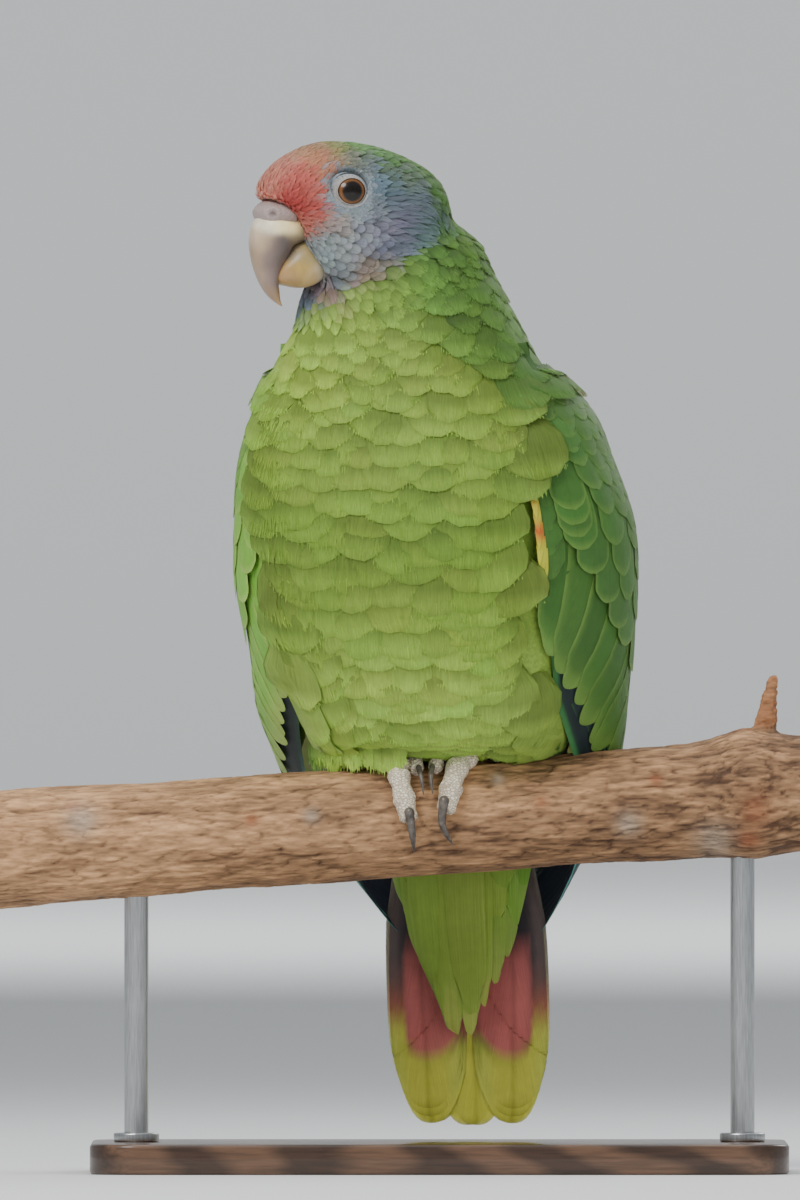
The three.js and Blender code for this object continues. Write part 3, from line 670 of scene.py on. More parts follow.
# Makes every vane of a plan as one object. The plan holds, for each feather, root, ahead, across,
# length and half width, and how it lies from its low root to its high tip, in millimetres; unwrap
# is its root's place on the bake map.
def growVanes(name, plan, drape, rows, columns, material, colourAt=None):
    a, w, template, onRim = vaneTemplate(rows, columns)
    count = len(plan["root"])
    each = lambda key, default=0.0: (
        np.asarray(plan.get(key, default), float) * np.ones(count)
    )[:, None, None]
    spread = lambda key: plan[key][:, None, None, :]
    a3, w3 = a[None, :, None], w[None, None, :]
    profile = plan.get("profile", ([0, 0.25, 0.6, 0.85, 1], [0.3, 0.75, 1, 0.92, 0.62]))
    body = np.interp(a, *profile)[None, :, None]
    s = a3 * (1 - each("round", 0.3) * np.abs(w3) ** plan.get("tipPower", 2.3) * a3**1.5)
    jag = each("jag") * rng.uniform(-1, 1, (count, 1, len(w))) * (a3 > 0.99)
    s = s * (1 + jag)
    along = each("length") * s
    sideways = each("half") * body * w3
    flat = (
        spread("root") + spread("ahead") * along[..., None] + spread("across") * sideways[..., None]
    )
    if "riseAt" in plan:
        rise = plan["riseAt"](s)
    else:
        climb = (each("high") - each("low")) * np.clip(s, 0, 1) ** each("power", 0.9)
        rise = each("low") + climb - each("droop") * ramp(a3, 0.68, 1)
    rise = rise - each("camber") * w3**2 * body**2
    shape = flat.shape
    owner = np.repeat(np.arange(count), shape[1] * shape[2])
    top = drape(flat.reshape(-1, 3), rise.ravel(), owner).reshape(shape)
    inner = (slice(None), slice(1, -1), slice(1, -1))
    lowShape = flat[inner].shape
    lowRise = (rise - each("thick", 0.15))[inner]
    lowOwner = np.repeat(np.arange(count), lowShape[1] * lowShape[2])
    under = drape(flat[inner].reshape(-1, 3), lowRise.ravel(), lowOwner).reshape(lowShape)
    points = np.concatenate([top.reshape(count, -1, 3), under.reshape(count, -1, 3)], axis=1)
    perVane = points.shape[1]
    quads = (template[None] + np.arange(count)[:, None, None] * perVane).reshape(-1, 4)
    obj = quadMesh(name, points.reshape(-1, 3) * mm, quads, onRim)

    def both(values):
        layers = (layer.reshape(count, -1, values.shape[-1]) for layer in (values, values[inner]))
        return np.concatenate(list(layers), axis=1)

    if colourAt is None:
        sideRim = ramp(np.abs(w3) * np.ones_like(s), plan.get("rimWide", 0.8), 1)
        sideRim = sideRim * ramp(a3, *plan.get("rimFrom", (0.3, 0.8)))
        rim = np.maximum(sideRim, ramp(a3, plan.get("tipFrom", 0.86), 1) * np.ones_like(s))
        rim = rim[..., None] * each("edgeShare")[..., None]
        colours = between(spread("colour"), spread("edge"), rim)
        # painted shade: each feather darker towards its root, where the feather above it shades it
        nearRoot = 1 - ramp(s, *plan.get("shadeSpan", (0.1, 0.55)))
        colours = colours * (1 - each("rootShade", 0.38) * nearRoot)[..., None]
    else:
        colours = colourAt(s, w3 * np.ones_like(s))
    paint(obj, np.clip(both(colours), 0, 1).reshape(-1, 3))
    vane = np.stack([w3 * 0.5 + 0.5 + 0 * s, np.clip(s, 0, 1)], -1)
    shift = np.stack([np.zeros(count), rng.integers(0, 60, count)], -1)[:, None, None, :]
    addUv(obj, "Vane", both(vane + shift).reshape(-1, 2))
    patch = spread("unwrap") + (vane - 0.5) * 0.003
    addUv(obj, "OFBake", both(patch).reshape(-1, 2))
    obj.data.materials.append(material)
    print(name, "has", count, "vanes and", 2 * len(quads), "triangles")
    return obj


# Lays points, in millimetres, on the skin and lifts them by rise.
def overSkin(points, rise, owner):
    spots, normals = smoothedNormals(points * mm)
    return spots / mm + normals * rise[:, None]


# As overSkin, on the trunk; what reaches a closed wing rides over its edge.
def overTrunk(points, rise, owner, above=0.0):
    spots, normals = smoothedNormals(points * mm, onTrunk=True)
    out = toBody(spots + normals * rise[:, None] * mm)
    inside, _ = wingShare(out)
    side = np.where(out[:, 0] > smoothRows(torsoRows, out[:, 2])[:, 0], 1.0, -1.0)
    shift, half, middle, front, back = smoothRows(mantleRows, out[:, 2]).T
    angle = mantleAngle(side, out)
    over = mantlePoint(side, out[:, 2], angle, -0.2 - 0.4 * rise - above)
    centre = np.stack([shift, middle], -1)
    short = np.linalg.norm(over[:, :2] - centre, axis=1) - np.linalg.norm(out[:, :2] - centre, axis=1)
    share = (
        ramp(inside, -9, 1) * (short > 0) * ramp(out[:, 2], 14, 30) * (1 - ramp(out[:, 2], 127, 134))
    )
    out[:, :2] += (over[:, :2] - out[:, :2]) * share[:, None]
    return fromBody(out) / mm


def turned(ahead, across, angles):
    c, s = np.cos(angles)[:, None], np.sin(angles)[:, None]
    return ahead * c + across * s, across * c - ahead * s


# Unit directions along and across each feather, tangent to the skin, with a little disorder.
def laidAlong(points, normals, lie, spread):
    ahead = unit(lie - (lie * normals).sum(axis=1, keepdims=True) * normals)
    across = np.cross(normals, ahead)
    return turned(ahead, across, rng.normal(0, spread, len(points)))


# Plumage colours at points in millimetres, each feather a little lighter or darker than the next.
def featherColours(points, strength=0.07):
    base = plumage((points + rng.normal(0, 0.9, points.shape)) * mm)
    level = 1 + rng.normal(0, strength, (len(points), 1))
    return base * level * (1 + rng.normal(0, strength * 0.35, (len(points), 3)))


# body feathers, ring over ring from the belly up to the neckline

bodyCoat = {
    "perRing": 23, "lowest": -10, "highest": 161, "tilt": 11, "rowShare": 0.48, "lengthShare": 3.8,
    "halfShare": 0.84, "rows": [0, 0.4, 0.66, 0.78, 0.9, 1], "columns": 6, "barbs": 22,
    "barbStart": 0.84, "barbSpread": 0.12, "shoulder": np.array([31, -6, 265]),
}


# How far a ring drops towards the side the bird looks to.
def neckTilt(height, outward):
    return -bodyCoat["tilt"] * ramp(height, 95, 158) * (outward @ headForward)


# Degrees by which places in the body's frame lie inside the closed wing that is on their side;
# negative outside it.
def wingShare(places):
    side = np.where(places[:, 0] > smoothRows(torsoRows, places[:, 2])[:, 0], 1.0, -1.0)
    angles = mantleAngle(side, places)
    front, back = smoothRows(armRows, np.clip(places[:, 2], 22, 131)).T
    inside = np.minimum(angles - front, back - angles)
    return np.where(places[:, 2] > 129, -90, inside), angles - front


# height of a feather's tip, then the angle on the mantle out to which the flank's feathers cover
# the wing's front edge
flankEdge = {
    1: [
        (20, -44), (27, -45.5), (37, -48.3), (47, -49), (62, -49), (70, -50), (83, -49), (87, -42),
        (92, -38), (97, -35.5), (104, -33.5), (112, -29), (125, -22)
    ],
    -1: [
        (14, -34), (23, -34), (34, -37), (47, -39), (57, -39), (67, -38), (80, -34), (90, -30),
        (100, -26), (125, -18)
    ],
}


def flankLimit(side, height, gap):
    tip = height - gap * bodyCoat["rowShare"] * bodyCoat["lengthShare"] * 0.8
    return np.interp(tip, *zip(*flankEdge[side])) - np.degrees(gap * bodyCoat["halfShare"] * 0.92 / 62)


def bodyRoots():
    found = []
    height, ring = bodyCoat["lowest"], 0
    while height < bodyCoat["highest"]:
        shift, half, front, back = smoothRows(torsoRows, float(height))
        girth = math.pi * (half + (back - front) / 2)
        gap = girth / bodyCoat["perRing"]
        for k in range(bodyCoat["perRing"]):
            angle = 2 * math.pi * (k + 0.5 * (ring % 2)) / bodyCoat["perRing"] + rng.normal(0, 0.035)
            up = rng.normal(0, 0.13 * gap)
            for attempt in range(2):
                outward = np.array([math.cos(angle), math.sin(angle), 0]) @ bodyAxes
                middle = fromBody([shift, (front + back) / 2, height + neckTilt(height, outward) + up])
                hit, _, _, _ = bodySurface[0].ray_cast(
                    (middle + outward * 0.16).tolist(), (-outward).tolist(), 0.16
                )
                if not hit:
                    break
                place = toBody(np.array([hit]))
                inside, behindFront = wingShare(place)
                side = 1 if place[0, 0] > shift else -1
                inFront = behindFront[0] < 60
                over = (
                    mantleAngle(side, place)[0] - flankLimit(side, place[0, 2], gap) if inFront
                    else inside[0] + 2
                )
                if over < 0 or not 20 < place[0, 2] < 129:
                    found.append([*hit, gap, height])
                    break
                if over > 360 / bodyCoat["perRing"]:
                    break
                # the first one past the edge is moved back to it
                wanted = mantleAngle(side, place)[0] + (-1 if inFront else 1) * (over + 0.3)
                angle = math.radians(wanted if side > 0 else 180 - wanted)
        height += gap * bodyCoat["rowShare"]
        ring += 1
    return np.array(found)


roots = bodyRoots()
spots, normals = smoothedNormals(roots[:, :3], onTrunk=True)
bodyPlaces = toBody(spots)
gaps, levels = roots[:, 3], roots[:, 4]
lie = np.tile([0.0, 0.0, -1.0], (len(spots), 1))
lie += bodyAxes[0] * (0.10 * np.clip(bodyPlaces[:, :1] / 45, -1, 1))
ahead, across = laidAlong(spots, normals, lie, 0.07)
lengths = gaps * bodyCoat["rowShare"] * bodyCoat["lengthShare"] * rng.normal(1, 0.07, len(spots))
lengths = np.minimum(lengths, np.maximum(9, 9 + (bodyPlaces[:, 2] + 6) * 0.7))
# those on the bend of the left shoulder are short, so that none stands off it
onShoulder = np.linalg.norm(spots / mm - bodyCoat["shoulder"], axis=1) < 6
lengths = np.where(onShoulder, lengths * 0.6, lengths)
tips = spots / mm + ahead * lengths[:, None] * 0.85
depths = coatDepth(tips * mm)
# the flanks' feathers stand fuller over the edges of the wings
torsoAt = smoothRows(torsoRows, bodyPlaces[:, 2])
outward = (bodyPlaces[:, 0] - torsoAt[:, 0]) / torsoAt[:, 1]
fuller = (
    np.where(outward < 0, 3.0, 1.2) * ramp(np.abs(outward), 0.5, 0.95)
    * (1 - ramp(bodyPlaces[:, 2], 44, 72)) * ramp(bodyPlaces[:, 2], -8, 8)
)
neckness = ramp(levels, 112, 150)
colours = featherColours(tips)
plan = {
    "root": spots / mm, "ahead": ahead, "across": across, "length": lengths,
    "half": gaps * bodyCoat["halfShare"] * rng.normal(1, 0.07, len(spots)), "low": fuller * 0.5 - 0.4,
    "high": depths * rng.normal(1.0, 0.02, len(spots)) + fuller, "power": 0.36 + 0.06 * neckness,
    "thick": 0.05, "round": 0.17 + 0.15 * neckness, "camber": 0.26, "jag": 0.02,
    "droop": 0.3 - 0.04 * neckness, "profile": ([0, 0.3, 0.7, 0.9, 1], [0.4, 0.85, 1, 0.94, 0.78]),
    "tipFrom": 0.9, "colour": colours, "edge": colours * 0.8, "edgeShare": 0.5,
    # rootShade: painted shade near each root, under the feather above; less of it on the flanks
    "rootShade": 0.46 * (1 - 0.55 * ramp(np.abs(outward), 0.72, 0.92)), "shadeSpan": (0.64, 0.9),
    "unwrap": np.stack(
        [np.arctan2(bodyPlaces[:, 1], bodyPlaces[:, 0]) / 6.4 + 0.5, (bodyPlaces[:, 2] + 30) / 240], -1
    ),
}
coat = growVanes("feathersBody", plan, overTrunk, bodyCoat["rows"], bodyCoat["columns"], bodyFeather)
dress(coat, bodyFeather, "plumage_green")


def looseBarbs(plan, count, start, spread, overhang, shade, width=0.2):
    # a plan of fine strips fanned over the outer part of each feather and a little past its tip
    feathers = len(plan["root"])
    each = {}
    for key in (
        "root", "ahead", "across", "length", "half", "low", "high", "power", "round", "camber", "droop",
        "colour", "unwrap"
    ):
        value = np.asarray(plan[key], float)
        each[key] = np.repeat(
            value if value.ndim and len(value) == feathers else np.full(feathers, float(value)), count,
            axis=0
        )
    total = feathers * count
    sideways = np.tile(np.linspace(-0.95, 0.95, count), feathers) + rng.normal(0, 0.03, total)
    begin = start + rng.normal(0, 0.04, total)
    outline = each["length"] * (1 - each["round"] * np.abs(sideways) ** 2.3)
    lift = rng.uniform(0.03, 0.09, total)

    def riseAt(s):
        share = np.clip(begin[:, None, None] + (1 - begin[:, None, None]) * s, 0, 1)
        low, high, power, camber, droop = (
            each[key][:, None, None] for key in ("low", "high", "power", "camber", "droop")
        )
        level = (
            low + (high - low) * share**power - camber * sideways[:, None, None] ** 2
            - droop * ramp(share, 0.68, 1)
        )
        return level + 0.01 + lift[:, None, None] * np.clip(s, 0, 1)

    ahead, across = turned(
        each["ahead"], each["across"], spread * sideways + rng.normal(0, 0.05, total)
    )
    colour = each["colour"] * rng.normal(1.06, 0.08, (total, 1))
    return {
        "root": (
            each["root"] + each["ahead"] * (each["length"] * begin)[:, None]
            + each["across"] * (each["half"] * sideways * 0.86)[:, None]
        ),
        "ahead": ahead, "across": across, "riseAt": riseAt,
        "length": (
            outline - begin * each["length"] + np.repeat(overhang, count) * rng.uniform(-0.5, 1, total)
        ),
        "half": width * rng.uniform(0.8, 1.3, total), "thick": 0.04,
        "round": 0.2, "camber": 0.02, "profile": ([0, 0.5, 1], [0.8, 1, 0.5]), "colour": colour,
        "edge": colour * shade, "edgeShare": 0.5, "tipFrom": 0.5, "rootShade": 0.0,
        "unwrap": each["unwrap"],
    }


overhang = 0.9 + 2.6 * (1 - ramp(bodyPlaces[:, 2] - lengths, -14, 6))
barbs = looseBarbs(
    plan, bodyCoat["barbs"], bodyCoat["barbStart"], bodyCoat["barbSpread"], overhang, 0.85
)
coat = growVanes(
    "barbsBody", barbs, lambda points, rise, owner: overTrunk(points, rise, owner, 0.2), [0, 0.5, 1], 2,
    barbFeather
)
dress(coat, barbFeather, "plumage_green")


# a fringe that hangs from the belly over the roots of the front toes
fringe = {
    "from": -41, "to": -8, "count": 21, "top": 9, "deep": 5.5, "reach": 30, "wide": 43, "length": 11.8,
    "half": 3.2
}
fringeX = (
    np.linspace(fringe["from"], fringe["to"], fringe["count"]) + rng.normal(0, 0.5, fringe["count"])
)
fringeTop = fringe["top"] + rng.normal(0, 1, fringe["count"])
places = np.stack(
    [
        fringeX, fringe["deep"] - fringe["reach"] * np.sqrt(1 - (fringeX / fringe["wide"]) ** 2),
        fringeTop
    ], -1
)
drop = (
    fromBody(np.tile([0, 0.24, -1.0], (fringe["count"], 1))) - fromBody(np.zeros((fringe["count"], 3)))
)
hang = unit(drop)
colours = featherColours(fromBody(places) / mm)
plan = {
    "root": fromBody(places) / mm, "ahead": hang, "across": np.tile(bodyAxes[0], (fringe["count"], 1)),
    "length": fringe["length"] * rng.normal(1, 0.06, fringe["count"]), "half": fringe["half"],
    "low": -0.6, "high": 0.4, "power": 0.5, "thick": 0.05, "round": 0.3, "camber": 0.5, "droop": 0.3,
    "profile": ([0, 0.3, 0.7, 0.9, 1], [0.5, 0.9, 1, 0.9, 0.7]), "colour": colours,
    # rootShade: painted shade on the fringe's upper part, under the belly
    "edge": colours * 0.8, "edgeShare": 0.5, "rootShade": 0.55, "shadeSpan": (0.4, 0.85),
    "unwrap": np.stack([0.25 + fringeX / 400, (fringeTop + 30) / 240], -1),
}
inFront = lambda points, rise, owner: points - bodyAxes[1] * rise[:, None]
parts = [growVanes("fringeVanes", plan, inFront, bodyCoat["rows"], bodyCoat["columns"], bodyFeather)]
barbs = looseBarbs(
    plan, bodyCoat["barbs"], 0.7, bodyCoat["barbSpread"], np.full(fringe["count"], 2.4), 0.85
)
parts.append(growVanes("fringeBarbs", barbs, inFront, [0, 0.5, 1], 2, barbFeather))
coat = joinAll(parts, "feathersFringe")
dress(coat, bodyFeather, "plumage_green")


# head feathers, scattered closely with a spacing that follows the face

headCoat = {
    "tries": 80000, "bill": np.array([0, 22, -8]), "reach": 3.1, "halfShare": 0.84, "apart": 0.8,
    "cell": 4.4, "broadFrom": 2.0, "barbedFrom": 3.1, "eyeGap": 5.6,
}

# forward, up, reach, then spacing across and along, roundness of the tip, share of dark edge
headTracts = [
    (30, 2, 6, 1.2, 1.6, 0.6, 0.15), (22, 8, 6, 1.3, 1.7, 0.6, 0.15), (12, 13, 5, 1.7, 1.8, 0.5, 0.2),
    (0, 15, 5, 2.3, 2.1, 0.45, 0.3), (20, -5, 5, 1.1, 1.8, 0.6, 0.15), (14, -9, 3, 1.1, 1.8, 0.6, 0.15),
    (4.7, -1.1, 8.6, 1.0, 0.9, 0.3, 0.3), (-8, 6, 3, 1.8, 2.0, 0.5, 0.3),
    (-12, -2, 5, 1.0, 2.7, 0.8, 0.25), (-16, -10, 6, 0.95, 3.0, 0.8, 0.3),
    (-9, -16, 5, 1.05, 2.8, 0.75, 0.25), (-24, -10, 4, 1.8, 2.6, 0.6, 0.3),
    (-14, -21, 3, 1.8, 2.6, 0.6, 0.3), (8, -17, 3, 2.3, 1.6, 0.25, 0.8),
    (3, -22, 5, 2.8, 2.1, 0.2, 0.95), (-2, -18, 3, 2.5, 1.9, 0.25, 0.8),
    (8, -28, 4, 2.9, 2.3, 0.2, 0.9), (0, -30, 3, 2.8, 2.3, 0.35, 0.5),
    (12, -35, 4, 2.4, 2.6, 0.5, 0.35), (5, -36, 3, 2.6, 2.6, 0.45, 0.35),
    (16, -42, 4, 2.4, 2.6, 0.5, 0.3), (0, -40, 4, 4.0, 3.2, 0.4, 0.4),
    (-14, -30, 5, 4.2, 3.2, 0.45, 0.55), (-26, -22, 5, 4.2, 3.2, 0.5, 0.7),
    (-33, -8, 5, 4.0, 3.0, 0.5, 0.75), (-24, 6, 4, 3.4, 2.6, 0.45, 0.6),
    (-12, 12, 4, 3.0, 2.3, 0.45, 0.5),
]


def tractAt(head):
    tracts = np.array(headTracts)
    return markShares(head, tracts, markings["blend"]) @ tracts[:, 3:]


# Millimetres by which points in metres lie above the neckline.
def aboveNeckline(points):
    body = toBody(points)
    shift, half, front, back = smoothRows(torsoRows, np.clip(body[:, 2], -14, 176)).T
    out = body - np.stack([shift, (front + back) / 2, body[:, 2]], -1)
    outward = unit(out * [1, 1, 0]) @ bodyAxes
    return body[:, 2] - bodyCoat["highest"] + bodyCoat["tilt"] * (outward @ headForward)


def scatterHead():
    polygons = birdSkin.data.polygons
    places = readPoints(birdSkin.data)
    quads = np.array(
        [p.vertices[:] if len(p.vertices) == 4 else (*p.vertices, p.vertices[0]) for p in polygons]
    )
    centres = places[quads].mean(axis=1)
    keep = aboveNeckline(centres) > -3.5
    quads, centres = quads[keep], centres[keep]
    corners = places[quads]
    areas = np.linalg.norm(
        np.cross(corners[:, 2] - corners[:, 0], corners[:, 3] - corners[:, 1]), axis=1
    )
    spacing = tractAt(toHead(centres))
    weight = areas / (spacing[:, 0] * spacing[:, 1])
    chosen = rng.choice(len(quads), headCoat["tries"], p=weight / weight.sum())
    a, b = rng.random((2, headCoat["tries"], 1))
    corners = corners[chosen]
    spots = (
        (corners[:, 0] * (1 - a) + corners[:, 1] * a) * (1 - b)
        + (corners[:, 3] * (1 - a) + corners[:, 2] * a) * b
    )
    head = toHead(spots)
    eyeGap = np.hypot((head[:, 1] - 6.0) * 0.95, (head[:, 2] + 1.1) * 1.06)
    inBill = (head[:, 1] > 19) & (head[:, 2] < -6.6) & (np.abs(head[:, 0]) < 9.5)
    inLowerBill = (head[:, 1] > 9) & (head[:, 2] < -16) & (head[:, 2] > -31.5) & (
        np.abs(head[:, 0]) < 8.2
    )
    keep = ~((eyeGap < headCoat["eyeGap"]) & (np.abs(head[:, 0]) > 12)) & ~inBill & ~inLowerBill
    return spots[keep]


# Away from the bill, and downwards on the nape; in the head's frame.
def lieOnHead(head):
    fromBill = head - headCoat["bill"]
    distance = np.linalg.norm(fromBill, axis=1)
    lie = unit(fromBill * [0.8, 1, 1])
    down = ramp(distance, 34, 62)[:, None]
    return lie * (1 - down) + np.array([0, -0.25, -1.0]) * down


neighbours = [(x, y, z) for x in (-1, 0, 1) for y in (-1, 0, 1) for z in (-1, 0, 1)]


# Whether a feather at place, wide and deep, would come too close to one already taken.
def isCrowded(cells, key, place, lead, side, wide, deep):
    for x, y, z in neighbours:
        for j in cells.get((key[0] + x, key[1] + y, key[2] + z), ()):
            gap = [place[k] - spots[j][k] / mm for k in range(3)]
            along = gap[0] * lead[0] + gap[1] * lead[1] + gap[2] * lead[2]
            sideways = gap[0] * side[0] + gap[1] * side[1] + gap[2] * side[2]
            if (along / deep) ** 2 + (sideways / wide) ** 2 < headCoat["apart"]:
                return True
    return False


candidates = scatterHead()
spots, normals = smoothedNormals(candidates)
head = toHead(spots)
ahead, across = laidAlong(spots, normals, lieOnHead(head) @ headAxes, 0.001)
tracts = tractAt(head)
cells, taken = {}, []
for i, (place, lead, side, (wide, deep)) in enumerate(zip(spots / mm, ahead, across, tracts[:, :2])):
    key = tuple((place // headCoat["cell"]).astype(int))
    if not isCrowded(cells, key, place, lead, side, wide, deep):
        cells.setdefault(key, []).append(i)
        taken.append(i)
print("head feathers placed:", len(taken))

spots, normals, tracts, head = spots[taken], normals[taken], tracts[taken], head[taken]
ahead, across = laidAlong(spots, normals, lieOnHead(head) @ headAxes, 0.09)
lengths = tracts[:, 1] * headCoat["reach"] * rng.normal(1, 0.08, len(spots))
tips = spots / mm + ahead * lengths[:, None] * 0.8
colours = featherColours(tips, 0.06)
broad = tracts[:, 0] > headCoat["broadFrom"]
plan = {
    "root": spots / mm, "ahead": ahead, "across": across, "length": lengths,
    "half": tracts[:, 0] * headCoat["halfShare"] * rng.normal(1, 0.07, len(spots)), "low": -0.1,
    "high": coatDepth(tips * mm) * rng.normal(1, 0.04, len(spots)) * np.where(broad, 0.95, 0.72),
    "power": np.where(broad, 0.42, 0.3), "thick": 0.05,
    "round": np.minimum(tracts[:, 2] * np.where(broad, 0.6, 0.5), 0.28), "camber": 0.04 * tracts[:, 0],
    "jag": 0.015, "droop": np.where(broad, 0.18, 0.05), "colour": colours,
    "edge": colours * np.where(broad[:, None], 0.4, 0.72), "edgeShare": tracts[:, 3] * 0.7,
    # rootShade: painted shade near each root, under the feather above
    "rootShade": np.where(broad, 0.5, 0.22), "shadeSpan": (0.5, 0.84), "rimWide": 0.7,
    "unwrap": np.stack([np.arctan2(head[:, 0], head[:, 1]) / 6.4 + 0.5, (head[:, 2] + 70) / 110], -1),
}


def someOf(plan, keep):
    return {
        key: (value[keep] if isinstance(value, np.ndarray) else value) for key, value in plan.items()
    }


for name, keep, rows, columns, profile in (
    (
        "feathersFace", ~broad, [0, 0.4, 0.7, 0.88, 1], 2,
        ([0, 0.25, 0.55, 0.8, 1], [0.4, 0.9, 1, 0.82, 0.36])
    ),
    (
        "feathersCheekNape", broad, [0, 0.35, 0.7, 0.9, 1], 4,
        ([0, 0.25, 0.6, 0.85, 1], [0.3, 0.75, 1, 0.92, 0.62])
    ),
):
    part = {**someOf(plan, keep), "profile": profile}
    coat = growVanes(name, part, overSkin, rows, columns, downyFeather)
    dress(coat, downyFeather, "plumage_head")

# the broadest head feathers, down on the neck, have loose barbs too
onNeck = tracts[:, 0] > headCoat["barbedFrom"]
barbs = looseBarbs(someOf(plan, onNeck), 14, 0.8, 0.14, np.full(onNeck.sum(), 0.8), 0.85, 0.17)
coat = growVanes("barbsNeck", barbs, overSkin, [0, 0.5, 1], 2, barbFeather)
dress(coat, barbFeather, "plumage_head")


# wings: coverts and quills laid on the mantle

def overMantle(side):
    def drape(points, rise, owner):
        places = toBody(points * mm)
        return fromBody(mantlePoint(side, places[:, 2], mantleAngle(side, places), -rise)) / mm
    return drape


# A plan of feathers between pairs of [height, angle] on one wing.
def onWing(side, starts, ends, half, low, high, **more):
    starts, ends = np.array(starts, float), np.array(ends, float)
    a = mantlePoint(side, starts[:, 0], starts[:, 1], 0)
    b = mantlePoint(side, ends[:, 0], ends[:, 1], 0)
    middle = (starts + ends) / 2
    normal = unit(
        mantlePoint(side, middle[:, 0], middle[:, 1], -5)
        - mantlePoint(side, middle[:, 0], middle[:, 1], 5)
    )
    ahead = unit(b - a)
    across = unit(np.cross(normal, ahead))
    count = len(starts)
    spread = rng.normal(0, 0.02, count)
    ahead, across = ahead @ bodyAxes, across @ bodyAxes
    ahead, across = turned(ahead, across, spread)
    unwrap = np.stack([0.5 + side * (starts[:, 1] + 70) / 400, (starts[:, 0] + 90) / 240], -1)
    return {
        "root": fromBody(a) / mm, "ahead": ahead, "across": across,
        "length": np.linalg.norm(b - a, axis=1), "half": half * rng.normal(1, 0.04, count), "low": low,
        "high": high, "unwrap": unwrap, "angles": ends[:, 1], **more,
    }


# lit and litEdge are painted light: brighter greens and paler edges for the front of the right wing,
# which faces the light; lift is each wing's share of it
wingGreens = {
    "covert": (66, 108, 46), "secondary": (64, 108, 42), "shoulder": (74, 112, 50),
    "edge": (112, 148, 66), "lit": (128, 194, 66), "litEdge": (186, 212, 110), "litFront": (-12, 30),
    "lift": {1: 0.0, -1: 0.95},
}


# Colours the feathers of a plan; lift is its share of painted light, the brighter lit greens and edges,
# and only the front of the wing gets it.
def wingColours(plan, name, edgeShare, lift):
    count = len(plan["root"])
    lift = lift * (1 - ramp(plan["angles"], *wingGreens["litFront"]))[:, None]
    level = 1 + rng.normal(0, 0.06, (count, 1))
    base = (
        between(wingGreens[name], wingGreens["lit"], lift) * level
        * (1 + rng.normal(0, 0.025, (count, 3)))
    )
    rim = (
        between(wingGreens["edge"], wingGreens["litEdge"], lift) * (1 + rng.normal(0, 0.08, (count, 1)))
    )
    plan.update(colour=base, edge=rim, edgeShare=edgeShare)
    return plan


secondaryTips = {
    1: [
        (35, -44), (29, -41.5), (24, -39.5), (19, -36.5), (12, -32.5), (6, -28.5), (3, -23), (0, -15),
        (-5, -3), (-10, 15), (-15, 34), (-19, 54)
    ],
    -1: [
        (33, -43), (27, -41.5), (21, -39.5), (16.5, -37), (12.4, -34), (8.5, -32), (5.2, -30), (1, -28),
        (-4, -20), (-9, -4), (-14, 20), (-18, 46)
    ],
}
secondaryRoots = [
    (104, -42), (92, -26), (84, -13), (80, -3), (76, 8), (73, 18), (71, 27), (69, 34), (68, 42),
    (67, 50), (66, 56), (66, 62),
]
# small plain coverts along the wing's front edge
marginTips = [(100, -41), (92, -43.5), (84, -45.5), (76, -46.5), (68, -46.5), (60, -46)]
greaterTips = [
    (83, -36.5), (78, -36.5), (74, -35.5), (70, -34), (62, -29), (52.4, -22.5), (44, -15.5), (38.5, -8),
    (30, 5), (25, 24), (23, 44), (22, 60),
]
medianTips = [
    (106, -29), (97.6, -27), (89.7, -22.8), (81.7, -20), (71.5, -17), (61.6, -13), (53.4, -9), (47, 4),
    (44, 20), (42, 38), (40, 54)
]
longRows = [0, 0.15, 0.3, 0.45, 0.6, 0.72, 0.82, 0.9, 0.95, 0.98, 1]
longShape = ([0, 0.2, 0.6, 0.9, 0.97, 1], [0.5, 0.7, 1, 1, 0.93, 0.84])
quillShape = ([0, 0.1, 0.6, 0.9, 0.97, 1], [0.8, 1, 1, 1, 0.93, 0.84])
covertShape = ([0, 0.3, 0.7, 0.9, 1], [0.5, 0.85, 1, 1, 0.88])
squareShape = ([0, 0.3, 0.7, 0.93, 1], [0.6, 0.9, 1, 1, 0.93])

scapularTips = [
    (h, f) for h in range(30, 122, 8) for f in (66, 74, 82)
    if f < np.interp(h, [20, 80, 125], [86, 76, 50]) + 4
]


# Tips of the small feathers on the wing's bend, row under row, between its front and back edges.
def lesserTips(side):
    tips = []
    for row, height in enumerate(np.arange(122, 50, -5.2)):
        low = np.interp(
            height, [46, 58, 74, 88, 96, 104, 116, 126], [22, 8, -4, -12, -18, -32, -38, -28]
        )
        high = np.interp(height, [58, 80, 100, 116, 126], [84, 76, 70, 62, 46])
        step = 9.2 if height < 110 else 10.5
        for angle in np.arange(low + (row % 2) * step / 2, high, step):
            tips.append((height + rng.normal(0, 0.5), angle + rng.normal(0, 0.6)))
    return tips
